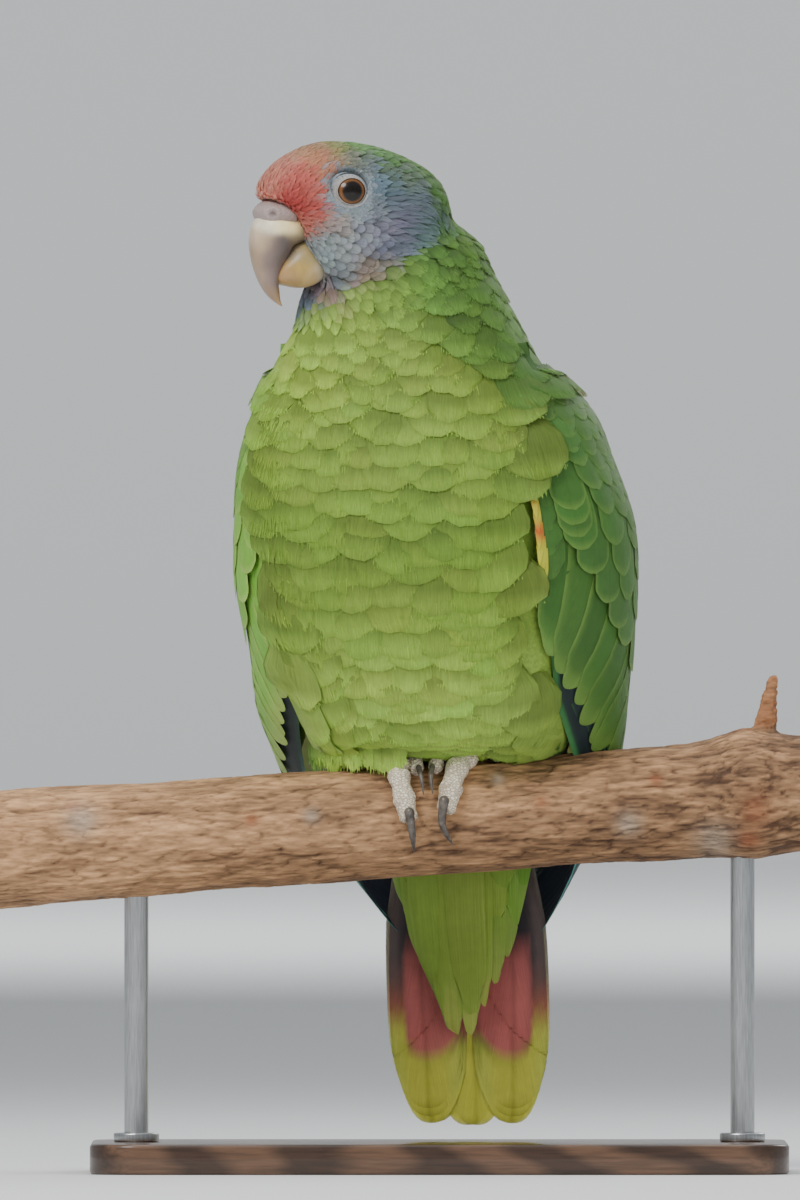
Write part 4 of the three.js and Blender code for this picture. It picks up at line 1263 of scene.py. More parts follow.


# Each row of a wing: its tips, its roots or how far they lie above and behind the tips, half width,
# level at root and tip with the step from one feather to the next, colour and edge, share of the
# wing's painted light (lift), rows and columns, shape.
shortRows = [0, 0.35, 0.65, 0.85, 0.95, 1]
wingRows = [
    {
        "tips": lambda side: secondaryTips[side], "roots": secondaryRoots, "half": 7.6,
        "low": (-3.4, 0.15), "high": (-2.8, 0.15), "colour": "secondary", "edge": 0.8, "lift": 1,
        "grid": (longRows, 12),
        "shape": {
            "thick": 0.1, "round": 0.14, "camber": 0.02, "droop": 0.2, "profile": quillShape,
            "rimWide": 0.76, "rimFrom": (0.0, 0.3)
        },
    },
    {
        "tips": lambda side: marginTips, "above": 20, "behind": 2, "half": 4.6, "low": (-2.2, 0),
        "high": (-1.5, 0), "colour": "covert", "edge": 0.15, "lift": 1, "grid": (shortRows, 6),
        "shape": {"thick": 0.08, "round": 0.3, "camber": 0.2, "droop": 0.15, "profile": covertShape},
    },
    {
        "tips": lambda side: greaterTips, "above": 30, "behind": 1, "half": 6.5, "low": (-1.9, 0),
        "high": (-0.9, -0.05), "colour": "covert", "edge": 0.6, "lift": 1, "grid": (longRows, 10),
        "shape": {
            "thick": 0.08, "round": 0.13, "camber": 0.12, "droop": 0.12, "rimWide": 0.84,
            "tipFrom": 0.9, "profile": squareShape, "jag": 0.008
        },
    },
    {
        "tips": lambda side: medianTips, "above": 32, "behind": 1, "half": 6.0, "low": (-1.6, 0),
        "high": (-0.6, -0.04), "colour": "covert", "edge": 0.45, "lift": 1, "grid": (longRows, 8),
        "shape": {
            "thick": 0.08, "round": 0.15, "camber": 0.12, "droop": 0.12, "rimWide": 0.84,
            "tipFrom": 0.88, "profile": squareShape, "jag": 0.01
        },
    },
    {
        "tips": lesserTips, "above": 14, "behind": 0, "highest": 131, "half": 5.6, "low": (-1.4, 0),
        "high": (-0.5, 0), "colour": "shoulder", "edge": 0.3, "lift": 0.6, "grid": (shortRows, 6),
        "shape": {
            "thick": 0.07, "round": 0.34, "power": 0.6, "camber": 0.2, "droop": 0.15,
            "profile": covertShape, "jag": 0.02
        },
    },
    {
        "tips": lambda side: scapularTips, "above": 22, "behind": 0, "highest": 131, "half": 7,
        "low": (-1.4, 0), "high": (-0.1, 0), "colour": "covert", "edge": 0.3, "lift": 0,
        "grid": (shortRows, 6),
        "shape": {
            "thick": 0.08, "round": 0.3, "camber": 0.25, "droop": 0.15, "profile": covertShape,
            "jag": 0.015
        },
    },
]


def rowPlan(side, row):
    tips = row["tips"](side)
    top = row.get("highest", math.inf)
    roots = row.get("roots") or [(min(h + row["above"], top), f + row["behind"]) for h, f in tips]
    order = np.arange(len(tips))
    (low, lowStep), (high, highStep) = row["low"], row["high"]
    plan = onWing(
        side, roots, tips, row["half"], low + lowStep * order, high + highStep * order, **row["shape"]
    )
    return wingColours(plan, row["colour"], row["edge"], wingGreens["lift"][side] * row["lift"])


# the outer quills follow the wing's front edge down to its tip; the innermost lie on top
quills = {
    "heights": [-64, -58, -46, -32, -18, -4, 10, 24, 34, 60],
    "edge": [20, 6, -5, -11, -17, -31, -41, -45, -46, -46],
    "tips": [-62, -68, -69, -68, -66, -62, -57, -52, -46, -40], "top": 56, "half": 7.4, "step": 4.6,
    "leading": (0.42, 0.85), "upper": (-0.62, -0.42), "dark": (30, 36, 52), "darkTop": (32, 44, 48),
    "bright": (84, 158, 156), "brightTop": {1: (62, 122, 66), -1: (40, 60, 56)},
}


def overQuills(side):
    def drape(points, rise, owner):
        height = points[:, 0]
        half = smoothRows(mantleRows, height)[:, 1]
        reach = quills["half"] * 0.9 + quills["step"] * owner + points[:, 1]
        angle = np.interp(height, quills["heights"], quills["edge"]) + np.degrees(reach / half)
        return fromBody(mantlePoint(side, height, angle, -rise)) / mm
    return drape


def quillPlan(side):
    order = np.arange(len(quills["tips"]))
    downward = np.tile([-1.0, 0, 0], (len(order), 1))
    return {
        "root": -quills["top"] * downward, "ahead": downward,
        "across": np.tile([0, 1.0, 0], (len(order), 1)) * -side,
        "length": quills["top"] - np.array(quills["tips"], float), "half": quills["half"],
        "low": -3.6 + 0.05 * order, "high": -3.0 + 0.2 * order, "thick": 0.22, "round": 0.05,
        "camber": 0.4, "profile": ([0, 0.2, 0.6, 0.88, 0.95, 1], [0.6, 0.9, 1, 0.85, 0.6, 0.25]),
        "unwrap": np.stack([0.3 + 0.03 * order, 0.5 + 0 * order], -1),
    }


def quillColour(side):
    def colourAt(s, w):
        leading = ramp(w * side, *quills["leading"])[..., None]
        upper = ramp(-s, *quills["upper"])[..., None]
        dark = between(quills["dark"], quills["darkTop"], upper)
        return between(dark, between(quills["bright"], quills["brightTop"][side], upper), leading)
    return colourAt


# the narrow bright feathers along the bend of the wing
edging = {
    "tips": [(80, -50.6), (75, -50.8), (70, -50.8), (65, -50.6), (60.5, -50.2), (56.5, -49.6)],
    "length": 14, "yellow": (196, 196, 60), "warm": (178, 118, 58), "green": (150, 184, 66),
    "spot": (206, 74, 44), "spotAt": 76, "spotReach": 3.2, "spotShare": 0.85,
    "otherSide": (128, 168, 70),
}


def edgingColour(side):
    def colourAt(s, w):
        place = np.array([h for h, f in edging["tips"]])[:, None, None] + edging["length"] * (1 - s)
        colour = between(edging["yellow"], edging["warm"], ramp(place, 80, 92)[..., None])
        colour = between(colour, edging["green"], (1 - ramp(place, 56, 64))[..., None])
        spot = np.exp(-(((place - edging["spotAt"]) / edging["spotReach"]) ** 2))[..., None]
        colour = between(colour, edging["spot"], edging["spotShare"] * spot)
        return colour if side > 0 else linear(edging["otherSide"]) * np.ones_like(colour)
    return colourAt


for side, word in ((1, "left"), (-1, "right")):
    coat = growVanes(
        "feathersPrimary_" + word, quillPlan(side), overQuills(side), longRows, 8, wingFeather,
        quillColour(side)
    )
    dress(coat, wingFeather, "flight_feathers", "wing_quills_" + word)

    parts = []
    plans = [rowPlan(side, row) for row in wingRows]
    for index, (plan, row) in enumerate(zip(plans, wingRows)):
        parts.append(growVanes(f"wingVanes{index}", plan, overMantle(side), *row["grid"], wingFeather))
    roots = [(h + edging["length"], f + 2) for h, f in edging["tips"]]
    plan = onWing(
        side, roots, edging["tips"], 1.3, -1.6, -0.1, thick=0.12, round=0.36, camber=0.3,
        profile=longShape
    )
    parts.append(
        growVanes("wingEdge", plan, overMantle(side), longRows, 4, wingFeather, edgingColour(side))
    )
    coat = joinAll(parts, "feathersWing_" + word)
    dress(coat, wingFeather, "wing_feathers")
print("wings made")


# tail

tail = {
    "rootHeight": 8, "rootDepth": 33, "tipDepth": 54, "half": 12.0, "layer": 0.5, "bow": 3.4,
    "shift": -1.1, "root": [1.6, 4.6, 6, 7.2, 8.2, 9], "tip": [1.6, 12.6, 13.8, 14.2, 14.4, 14.6],
    "tipHeight": [-120.6, -119.6, -120, -117.6, -115, -111.4], "dusky": (52, 46, 52),
    "duskyRim": (88, 76, 76), "blush": (168, 92, 72), "crimson": (190, 102, 98), "green": (84, 140, 54),
    "yellow": (188, 188, 70), "yellowRim": (182, 196, 92),
}


# points hold the share along a tail feather and the distance across it
def overTail(points, rise, owner):
    pair, side = owner // 2, np.where(owner % 2, 1.0, -1.0)
    t = points[:, 0]
    inFront = pair * tail["layer"] + 0.3 * (side > 0)
    rootX, tipX, tipH = (np.array(tail[key])[pair] for key in ("root", "tip", "tipHeight"))
    bow = tail["bow"] * pair / 5 * np.sin(math.pi * np.clip(t, 0, 1))
    x = tail["shift"] * t + side * (rootX + (tipX - rootX) * t) + side * bow + points[:, 1]
    y = tail["rootDepth"] + (tail["tipDepth"] - tail["rootDepth"]) * t - inFront - rise
    z = tail["rootHeight"] + (tipH - tail["rootHeight"]) * t
    return fromBody(np.stack([x, y, z], -1)) / mm


def tailColour(s, w):
    count = len(s)
    pair = (np.arange(count) // 2)[:, None, None]
    side = np.where(np.arange(count) % 2, 1.0, -1.0)[:, None, None]
    height = tail["rootHeight"] + (np.array(tail["tipHeight"])[pair] - tail["rootHeight"]) * s
    outer = -w * side
    wave = 1.2 * np.sin(w * 5 + pair)
    bottom = -97.5 + 9 * np.abs(outer + 0.1) ** 2.5 + wave * 0.4 + np.where(pair < 1, 12, 0)
    inWeb = (1 - ramp(outer, 0.38, 0.56))[..., None]
    red = (ramp(-height, 61, 68) * (1 - ramp(bottom - height, -3.5, 2.5)))[..., None] * inWeb
    tip = np.where(outer > 0.47, ramp(-height, 80, 92), ramp(bottom - height, -3, 4))[..., None]
    dusky = between(tail["dusky"], tail["duskyRim"], ramp(outer, 0.5, 0.66)[..., None])
    dusky = dusky * (1 - 0.45 * ramp(outer, 0.84, 0.96)[..., None])
    dusky = between(
        dusky, tail["blush"], 0.75 * (ramp(-height, 68, 84) * ramp(outer, 0.4, 0.6))[..., None]
    )
    yellow = between(tail["yellow"], tail["yellowRim"], 0.5 * ramp(np.abs(w), 0.35, 0.95)[..., None])
    base = np.where((pair >= 1)[..., None], between(dusky, tail["crimson"], red), linear(tail["green"]))
    colour = between(base, yellow, tip)
    shaft = (1 - ramp(np.abs(w), 0.0, 0.05))[..., None]
    rim = np.maximum(ramp(np.abs(w), 0.86, 1) * ramp(s, 0.5, 0.8), ramp(s, 0.975, 1))[..., None]
    return colour * (1 - 0.18 * shaft) * (1 - 0.3 * rim)


order = np.arange(12)
plan = {
    "root": np.zeros((12, 3)), "ahead": np.tile([1.0, 0, 0], (12, 1)),
    "across": np.tile([0, -1.0, 0], (12, 1)), "length": 1.0, "half": tail["half"], "low": 0.15,
    "high": 0.15, "power": 1, "thick": 0.3, "round": 0.125, "tipPower": 2.6, "camber": 0.6,
    "profile": ([0, 0.2, 0.55, 0.88, 0.96, 1], [0.45, 0.66, 1, 1, 0.98, 0.95]),
    "unwrap": np.stack([0.2 + 0.05 * order, 0.5 + 0 * order], -1),
}
tailRows = [
    0, 0.12, 0.24, 0.36, 0.46, 0.54, 0.62, 0.7, 0.76, 0.8, 0.84, 0.88, 0.915, 0.945, 0.97, 0.985, 1
]
coat = growVanes("feathersTail", plan, overTail, tailRows, 14, wingFeather, tailColour)
dress(coat, wingFeather, "tail_feathers", "tail")


def overNode(name):
    tree, _, _ = surfaceOf(nodes[name].data)
    outward = -bodyAxes[1] if name == "tail_coverts_under" else bodyAxes[1]

    def drape(points, rise, owner):
        out = np.empty_like(points)
        for i, place in enumerate((points * mm).tolist()):
            out[i] = tree.find_nearest(place)[0]
        return out / mm + outward * rise[:, None]
    return drape


def covertPlan(ends, half, deep, colour, edge):
    # long coverts over or under the tail: ends are [root x, root height, tip x, tip height] in the
    # body's frame
    ends = np.array(ends, float)
    a = np.stack([ends[:, 0], deep(ends[:, 1]), ends[:, 1]], -1)
    b = np.stack([ends[:, 2], deep(ends[:, 3]), ends[:, 3]], -1)
    face = -1.0 if deep(0) < 35 else 1.0
    ahead = unit(b - a)
    across = unit(np.cross(np.tile([0, face, 0], (len(ends), 1)), ahead))
    count = len(ends)
    base = (
        linear(colour) * (1 + rng.normal(0, 0.05, (count, 1))) * (1 + rng.normal(0, 0.03, (count, 3)))
    )
    return {
        "root": fromBody(a) / mm, "ahead": ahead @ bodyAxes, "across": across @ bodyAxes,
        "length": np.linalg.norm(b - a, axis=1), "half": half, "colour": base,
        "edge": linear(edge) * np.ones((count, 3)), "edgeShare": 0.5,
        "unwrap": np.stack([0.5 + ends[:, 2] / 100, 0.5 + ends[:, 3] / 260], -1),
    }


underRows = [
    [-92.5, 42], [-82, 39.4], [-70, 35.8], [-59, 32], [-48, 28], [-34, 24.5], [-16, 23.5], [2, 24],
    [30, 26]
]
# root x, root height, tip x, tip height, half width; from the deepest to the one on top
underTail = [
    (10, -20, 6.6, -81.5, 3.1), (15, -14, 16, -65.5, 4.2), (13, -22, 11, -74, 3.8),
    (3, -20, 1.6, -91, 4.8), (-12, -20, -10.4, -90.4, 5), (-5, -20, -4.6, -92.2, 6.4),
    (-12, -14, -10.4, -84, 5.2), (-14, -8, -12.6, -74, 5.6), (-15, -4, -13.4, -64, 5.8),
    (-18, 0, -17, -52, 6), (-20, 4, -20, -40, 6), (21, -4, 20, -55, 5.4), (24, 2, 23.6, -42, 5.6),
    (3, -6, 2.4, -84, 6.6), (-6, 0, -5.6, -76, 7.2), (11, 2, 9.6, -58, 7), (1, 6, 0.8, -62, 8),
    (-12, 10, -12.6, -46, 8), (16, 12, 15.6, -42, 7.6), (-4, 18, -4, -34, 9), (8, 18, 8, -30, 9),
    (21, 16, 21, -22, 8), (-18, 16, -18.4, -24, 8), (-8, 26, -8, -6, 9), (6, 26, 6, -4, 9),
    (18, 26, 18, -2, 9), (-18, 28, -18, 0, 8),
]
under = lambda h: smoothRows(underRows, np.asarray(h, float))[..., 0]
plan = covertPlan(
    [row[:4] for row in underTail], np.array([row[4] for row in underTail]), under, (148, 176, 66),
    (124, 146, 54)
)
depthOrder = np.linspace(0.1, 0.9, len(underTail))
outside = np.abs(np.array([row[2] for row in underTail]) - 1) / 22
plan["colour"] = between(plan["colour"], (112, 164, 52), outside[:, None] ** 2)
# the longest ones are raised off the tail at their tips
raised = 2.2 * ramp(-np.array([row[3] for row in underTail]), 66, 88)
plan.update(
    edge=plan["colour"] * 1.08, edgeShare=0.6, low=-0.4 + depthOrder * 0.8,
    high=depthOrder + 0.5 + raised, thick=0.03, round=0.12, camber=0.2, droop=0.16, power=0.5,
    profile=([0, 0.3, 0.6, 0.85, 0.95, 1], [0.8, 1, 1, 0.92, 0.8, 0.62]), jag=0.006, rootShade=0.0
)
coat = growVanes("feathersUnderTail", plan, overNode("tail_coverts_under"), longRows, 8, bodyFeather)
dress(coat, bodyFeather, "plumage_green", "tail_coverts_under")

overRows = [[-48, 52.4], [-36, 51], [-18, 48.4], [0, 46], [14, 43], [40, 38]]
tips, half = [], []
for row, (tipHeight, reach) in enumerate([(-47, 3), (-38, 7), (-28, 10), (-18, 12), (-8, 14), (2, 15)]):
    for k in range(4 + (row % 2)):
        share = k / (3 + (row % 2)) * 2 - 1
        tipUp = tipHeight + 4 * abs(share) ** 2 + rng.normal(0, 1)
        tips.append((share * reach, tipUp + 34, share * reach, tipUp))
        half.append(6.4)
over = lambda h: smoothRows(overRows, np.asarray(h, float))[..., 0]
plan = covertPlan(tips, np.array(half), over, (88, 144, 52), (120, 170, 70))
depthOrder = np.linspace(0.1, 1.2, len(tips))
plan.update(low=-0.4, high=depthOrder, thick=0.2, round=0.2, camber=0.6, profile=covertShape, jag=0.01)
coat = growVanes("feathersOverTail", plan, overNode("tail_coverts_upper"), longRows, 8, bodyFeather)
dress(coat, bodyFeather, "wing_feathers", "tail_coverts_upper")
print("tail made")


# bill, cere and tongue

# A closed body of rings between two poles. place(along, around) gives points in metres for arrays
# of 0 to 1.
def ringBody(name, place, rings, sides):
    along, around = np.meshgrid(np.arange(1, rings) / rings, np.arange(sides) / sides, indexing="ij")
    middle = place(along.ravel(), around.ravel())
    ends = place(np.array([0.0, 1.0]), np.array([0.0, 0.0]))
    points = np.concatenate([middle, ends])
    faces = []
    for i in range(rings - 2):
        for j in range(sides):
            k = (j + 1) % sides
            faces.append([i * sides + j, i * sides + k, (i + 1) * sides + k, (i + 1) * sides + j])
    last = (rings - 2) * sides
    for j in range(sides):
        k = (j + 1) % sides
        faces.append([len(middle), k, j])
        faces.append([len(middle) + 1, last + j, last + k])
    obj = newMesh(name, points, faces)
    faceOutward(obj)
    return obj


def roundEnds(along, cap):
    near = np.minimum(along, 1 - along)
    return np.where(near >= cap, 1, np.sqrt(np.maximum(0, 1 - (1 - near / cap) ** 2)))


# The place function of a body between two lines in the head's plane of symmetry: [forward, up,
# forward, up, half width].
def betweenLines(rows, cap, fullness):
    table = [[i / (len(rows) - 1), *row] for i, row in enumerate(rows)]

    def place(along, around):
        t = along + (((1 - np.cos(math.pi * along)) / 2) - along) * 0.6
        a1, b1, a2, b2, width = smoothRows(table, t).T
        fill = roundEnds(t, cap)
        angle = around * 2 * math.pi
        swing = np.cos(angle) * fill
        side = np.sign(np.sin(angle)) * np.abs(np.sin(angle)) ** fullness * fill * width
        return fromHead(
            np.stack(
                [side, (a1 + a2) / 2 + swing * (a1 - a2) / 2, (b1 + b2) / 2 + swing * (b1 - b2) / 2], -1
            )
        )
    return place


def paintedMaterial(name, roughness, speckle, speckleScale, bump, stretch=(1, 1, 1), coatWeight=0.0):
    material = newMaterial(
        name, {"Roughness": roughness, "Coat Weight": coatWeight, "Coat Roughness": 0.25}
    )
    grain = noiseOf(material, objectPlace(material, stretch), speckleScale, 4)
    coloured(material, paintOf(material), grain, [(0.3, 1 - speckle), (0.7, 1 + speckle * 0.4)])
    bumpOf(material, grain, bump, 0.0003)
    return material


hornMaterial = paintedMaterial("billHorn", 0.42, 0.16, 260, 0.12, stretch=(1, 1, 0.5), coatWeight=0.15)
cereMaterial = paintedMaterial("cereSkin", 0.6, 0.2, 1400, 0.35)

# forward, up, reach, colour
upperHorn = [
    (30, -12, 3, 240, 230, 204), (26, -11, 3, 255, 240, 188), (21, -13, 3, 242, 224, 162),
    (16, -13, 3, 176, 164, 130), (33.6, -16, 2, 206, 186, 158), (31, -18, 3, 178, 154, 126),
    (27, -19.5, 2, 112, 96, 90), (24, -19.5, 3, 96, 84, 82), (20, -17.5, 2, 124, 110, 92),
    (33, -24, 2, 176, 150, 124), (29, -24, 3, 120, 102, 96), (25, -24, 3, 100, 86, 82),
    (31, -30, 2, 170, 144, 122), (27, -30, 3, 122, 104, 102), (28, -35, 3, 150, 122, 98),
    (23.5, -38, 2, 178, 140, 104),
]
lowerHorn = [
    (20, -21, 2, 130, 118, 98), (17, -22, 3, 168, 146, 94), (19, -27, 3, 186, 154, 80),
    (23, -28, 2, 172, 136, 88), (15, -30, 3, 186, 156, 108), (10, -27, 3, 182, 168, 140),
    (12, -21, 3, 160, 146, 110), (9, -31, 2, 190, 180, 160), (21, -31, 2, 172, 134, 96),
]


upperBillRows = [
    [13, -8.5, 11.5, -15.8, 7], [22, -7.6, 16.4, -17.8, 8.3], [28.8, -7.4, 19.4, -19.2, 8.7],
    [32.6, -11.4, 20.6, -21.6, 8.2], [33.9, -17, 22.2, -24.8, 7.2], [33.3, -23, 23.6, -27.8, 6.1],
    [31.7, -28.6, 24.4, -31, 4.8], [29.4, -33.3, 24, -34.2, 3.4], [26.6, -36.6, 23.6, -36.9, 1.9],
    [23.4, -38.8, 22.8, -39, 0.6],
]
lowerBillRows = [
    [6.5, -17.3, 7.5, -27, 6], [9.5, -16.2, 10, -30.4, 7.6], [14, -16.2, 14, -32.4, 8.2],
    [18.6, -18, 18.2, -32.8, 7.9], [22, -21.4, 21.4, -32.3, 6.8], [24.6, -25.4, 24.2, -31.6, 5.2],
    [25.8, -28.8, 25.6, -30.6, 3],
]
cereRows = [
    [19.5, -4.4, 18, -12.6, 9.6], [24, -3.6, 21.5, -12.8, 9.9], [28.6, -4, 26, -12.5, 9],
    [31.2, -5.7, 29.2, -11.8, 7.4], [32.8, -7.9, 31.2, -11, 4.6],
]
tongueRows = [
    [12, -17, 13, -21, 3.6], [17, -17.8, 17.4, -21.6, 3.6], [22, -20.6, 21, -24, 3],
    [24.4, -23.4, 23.4, -24.8, 1.6]
]

for name, rows, cap, fullness, rings, sides, marks, node in (
    ("billUpper", upperBillRows, 0.03, 0.8, 90, 72, upperHorn, "bill_upper"),
    ("billLower", lowerBillRows, 0.08, 0.85, 60, 56, lowerHorn, "bill_lower"),
):
    horn = ringBody(name, betweenLines(rows, cap, fullness), rings, sides)
    marks = np.array(marks, dtype=float)
    paint(horn, linear(markShares(toHead(readPoints(horn.data)), marks, 1.8, 0.3) @ marks[:, 3:]))
    dress(horn, hornMaterial, "bill_horn", node)
tonguePiece = ringBody("tonguePiece", betweenLines(tongueRows, 0.2, 1), 30, 32)
paint(tonguePiece, linear((96, 76, 74)) * np.ones((len(tonguePiece.data.vertices), 1)))
dress(tonguePiece, cereMaterial, "tongue_flesh", "tongue")

nostrils = {"side": 8, "place": (28.2, -8.4), "sink": 1.3, "rim": 0.35, "dark": (70, 48, 42)}
cerePiece = ringBody("cereBand", betweenLines(cereRows, 0.14, 0.8), 70, 80)
points = readPoints(cerePiece.data)
head = toHead(points)
away = np.hypot(*(head[:, k] - at for k, at in ((1, nostrils["place"][0]), (2, nostrils["place"][1]))))
away = np.hypot(np.abs(head[:, 0]) - nostrils["side"], away)
sink = (
    nostrils["rim"] * np.exp(-(((away - 2.0) / 0.7) ** 2))
    - nostrils["sink"] * np.exp(-((away / 1.15) ** 2))
)
writePoints(cerePiece.data, points + readNormals(cerePiece.data) * sink[:, None] * mm)
colours = between((150, 128, 122), (170, 154, 150), ramp(head[:, 1], 20, 30)[:, None])
# the nostrils' hollows are painted dark: painted shade in the holes
paint(cerePiece, between(colours, nostrils["dark"], np.exp(-((away / 1.1) ** 2))[:, None]))
dress(cerePiece, cereMaterial, "cere_skin", "cere")
print("bill made")


# eyes and lids

eye = {"radius": 6.2, "side": 16.1, "up": -1.1, "lidInner": 4.5, "lidOuter": 7.0, "fold": 0.24}


# Pupil, iris and dark rim, by how far a point lies out along the eye's axis.
def eyeMaterial(name, centre, axis):
    material = newMaterial(name, {
        "Roughness": 0.3, "Specular IOR Level": 0.2, "Coat Weight": 0.4, "Coat Roughness": 0.03,
    })
    offset = add(material, "VectorMath", operation="SUBTRACT")
    join(material, add(material, "TexCoord").outputs["Object"], offset.inputs[0])
    offset.inputs[1].default_value = centre.tolist()
    direction = add(material, "VectorMath", operation="NORMALIZE")
    join(material, offset.outputs[0], direction.inputs[0])
    dot = add(material, "VectorMath", operation="DOT_PRODUCT")
    join(material, direction.outputs[0], dot.inputs[0])
    dot.inputs[1].default_value = axis.tolist()
    stop = lambda r: math.sqrt(1 - (r / eye["radius"]) ** 2)
    ring = rampOf(
        material, dot.outputs["Value"],
        [
            (stop(5.6), (0.01, 0.008, 0.007)), (stop(4.6), (0.02, 0.011, 0.007)),
            (stop(4.3), (0.10, 0.04, 0.014)), (stop(3.8), (0.20, 0.085, 0.026)),
            (stop(3.3), (0.075, 0.03, 0.011)), (stop(2.95), (0.007, 0.005, 0.004)),
        ]
    )
    coloured(material, ring, noiseOf(material, direction.outputs[0], 26), [(0.3, 0.6), (0.7, 1.3)], 0.8)
    return material


lidMaterial = paintedMaterial("lidSkin", 0.55, 0.25, 1800, 0.5)
for side, word in ((1, "left"), (-1, "right")):
    centre = fromHead([side * eye["side"], bird["eyeForward"], eye["up"]])
    axis = headLeft * side
    turn = Vector(axis).to_track_quat("Z", "Y").to_matrix().to_4x4()
    setActive(birdSkin)
    bpy.ops.mesh.primitive_uv_sphere_add(segments=64, ring_count=40, radius=eye["radius"] * mm)
    ball = bpy.context.object
    ball.name = "eyeball_" + word
    ball.data.transform(Matrix.Translation(Vector(centre)) @ turn)
    ball.data.shade_smooth()
    dress(ball, eyeMaterial("eye_" + word, centre, axis), "eye", "eye_" + word)

    # the bare ring: from the rim of the lids on the eyeball out to the skin round it
    steps, spokes = 26, 96
    share = np.linspace(0, 1, steps)[:, None] * np.ones((1, spokes))
    angle = np.arange(spokes)[None, :] / spokes * 2 * math.pi * np.ones((steps, 1))
    squeeze = 1 - 0.07 * np.abs(np.sin(angle)) + 0.03 * np.abs(np.cos(angle))
    reach = eye["lidOuter"] + 0.5 * np.cos(angle) - 0.7 * np.abs(np.sin(angle)) - eye["lidInner"]
    radius = (eye["lidInner"] + reach * share) * (1 + (squeeze - 1) * (1 - share))
    forward, up = bird["eyeForward"] + radius * np.cos(angle), radius * np.sin(angle)
    onBall = np.sqrt(np.maximum(eye["radius"] ** 2 - radius**2, 0)) + eye["side"]
    onSkin = np.empty_like(onBall)
    for i in range(steps):
        for j in range(spokes):
            start = fromHead([side * 40, forward[i, j], up[i, j] + eye["up"]])
            hit, _, _, _ = skinSurface[0].ray_cast(start.tolist(), (-axis).tolist(), 0.04)
            onSkin[i, j] = abs(toHead(np.array([hit]))[0, 0]) if hit else onBall[i, j]
    blend = ramp(share, 0.02, 0.5)
    rim = 0.5 * np.exp(-((share - 0.1) / 0.08) ** 2)
    folds = eye["fold"] * np.sin(share * 22 + 0.8 * np.sin(angle * 3 + side)) * share * (1 - share) * 2
    grainAt = lambda a, r: noise.noise(Vector((math.cos(a) * r * 1.6, math.sin(a) * r * 1.6, side)))
    grain = np.array([[grainAt(a, r) for a, r in zip(*rows)] for rows in zip(angle, radius)])
    level = (
        np.maximum(between(onBall + 0.12, onSkin + 0.3, blend), onBall + 0.12) + rim + folds
        + 0.16 * grain * share
    )
    level = np.where(share > 0.7, level - (share - 0.7) / 0.3 * 0.8, level)
    outer = fromHead(np.stack([side * level, forward, up + eye["up"]], -1).reshape(-1, 3))
    inner = fromHead(
        np.stack([side * (level - 0.6 - 0.6 * share), forward, up + eye["up"]], -1).reshape(-1, 3)
    )
    place = lambda layer, i, j: layer * steps * spokes + i * spokes + j % spokes
    faces = []
    for j in range(spokes):
        for i in range(steps - 1):
            faces.append(
                (place(0, i, j), place(0, i, j + 1), place(0, i + 1, j + 1), place(0, i + 1, j))
            )
            faces.append(
                (place(1, i, j), place(1, i + 1, j), place(1, i + 1, j + 1), place(1, i, j + 1))
            )
        faces.append((place(0, 0, j), place(1, 0, j), place(1, 0, j + 1), place(0, 0, j + 1)))
        faces.append(
            (
                place(0, steps - 1, j), place(0, steps - 1, j + 1), place(1, steps - 1, j + 1),
                place(1, steps - 1, j)
            )
        )
    lid = newMesh("eyelids_" + word, np.concatenate([outer, inner]), faces)
    faceOutward(lid)
    away = np.tile(share.ravel(), 2)[:, None]
    pale = between((156, 152, 148), (132, 144, 152), ramp(away, 0.2, 0.9))
    pale = pale * (1 + 0.25 * np.tile(grain.ravel(), 2)[:, None])
    paint(lid, between((44, 34, 30), pale, ramp(away, 0.0, 0.07)))
    dress(lid, lidMaterial, "cere_skin")
print("eyes made")


# feet and claws

foot = {"voxel": 0.45, "thick": 3.5, "scutes": 0.28, "wrinkle": 0.24}
footMaterial = newMaterial("footSkin", {"Roughness": 0.62})
scales = add(footMaterial, "TexVoronoi", feature="DISTANCE_TO_EDGE", Scale=980)
join(footMaterial, objectPlace(footMaterial, (0.75, 1, 1.25)), scales.inputs["Vector"])
edgeGap = scales.outputs["Distance"]
scaleShade = rampOf(
    footMaterial, edgeGap,
    [(0.0, (0.56, 0.46, 0.36)), (0.12, (0.92, 0.82, 0.66)), (0.5, (1.0, 0.92, 0.76))]
)
dirt = noiseOf(footMaterial, objectPlace(footMaterial), 160, 4)
coloured(footMaterial, scaleShade, dirt, [(0.3, (0.74, 0.7, 0.66)), (0.7, (1.05, 1.04, 1.02))])
bumpOf(footMaterial, rampOf(footMaterial, edgeGap, [(0.0, 0), (0.16, 1)]), 0.8, 0.0004)

clawMaterial = newMaterial("clawHorn", {"Roughness": 0.32})
clawNoise = noiseOf(clawMaterial, objectPlace(clawMaterial), 500)
clawShade = rampOf(clawMaterial, clawNoise, [(0.3, (0.05, 0.042, 0.038)), (0.7, (0.17, 0.145, 0.125))])
join(clawMaterial, clawShade, shaderOf(clawMaterial).inputs["Base Color"])

perch = {
    "left": -148, "right": 138, "knotAt": 103, "spurAt": 107.5, "height": 116.7,
    "slope": math.radians(4), "radius": 18.7, "voxel": 0.75, "ripple": (0.25, 0.2), "knot": 2.6
}
perchAxes = np.array(
    [
        [math.cos(perch["slope"]), 0, math.sin(perch["slope"])], [0, 1, 0],
        [-math.sin(perch["slope"]), 0, math.cos(perch["slope"])],
    ]
)


def fromPerch(points):
    return (np.asarray(points) @ perchAxes + [0, 0, perch["height"]]) * mm


def toPerch(points):
    return (points / mm - [0, 0, perch["height"]]) @ perchAxes.T


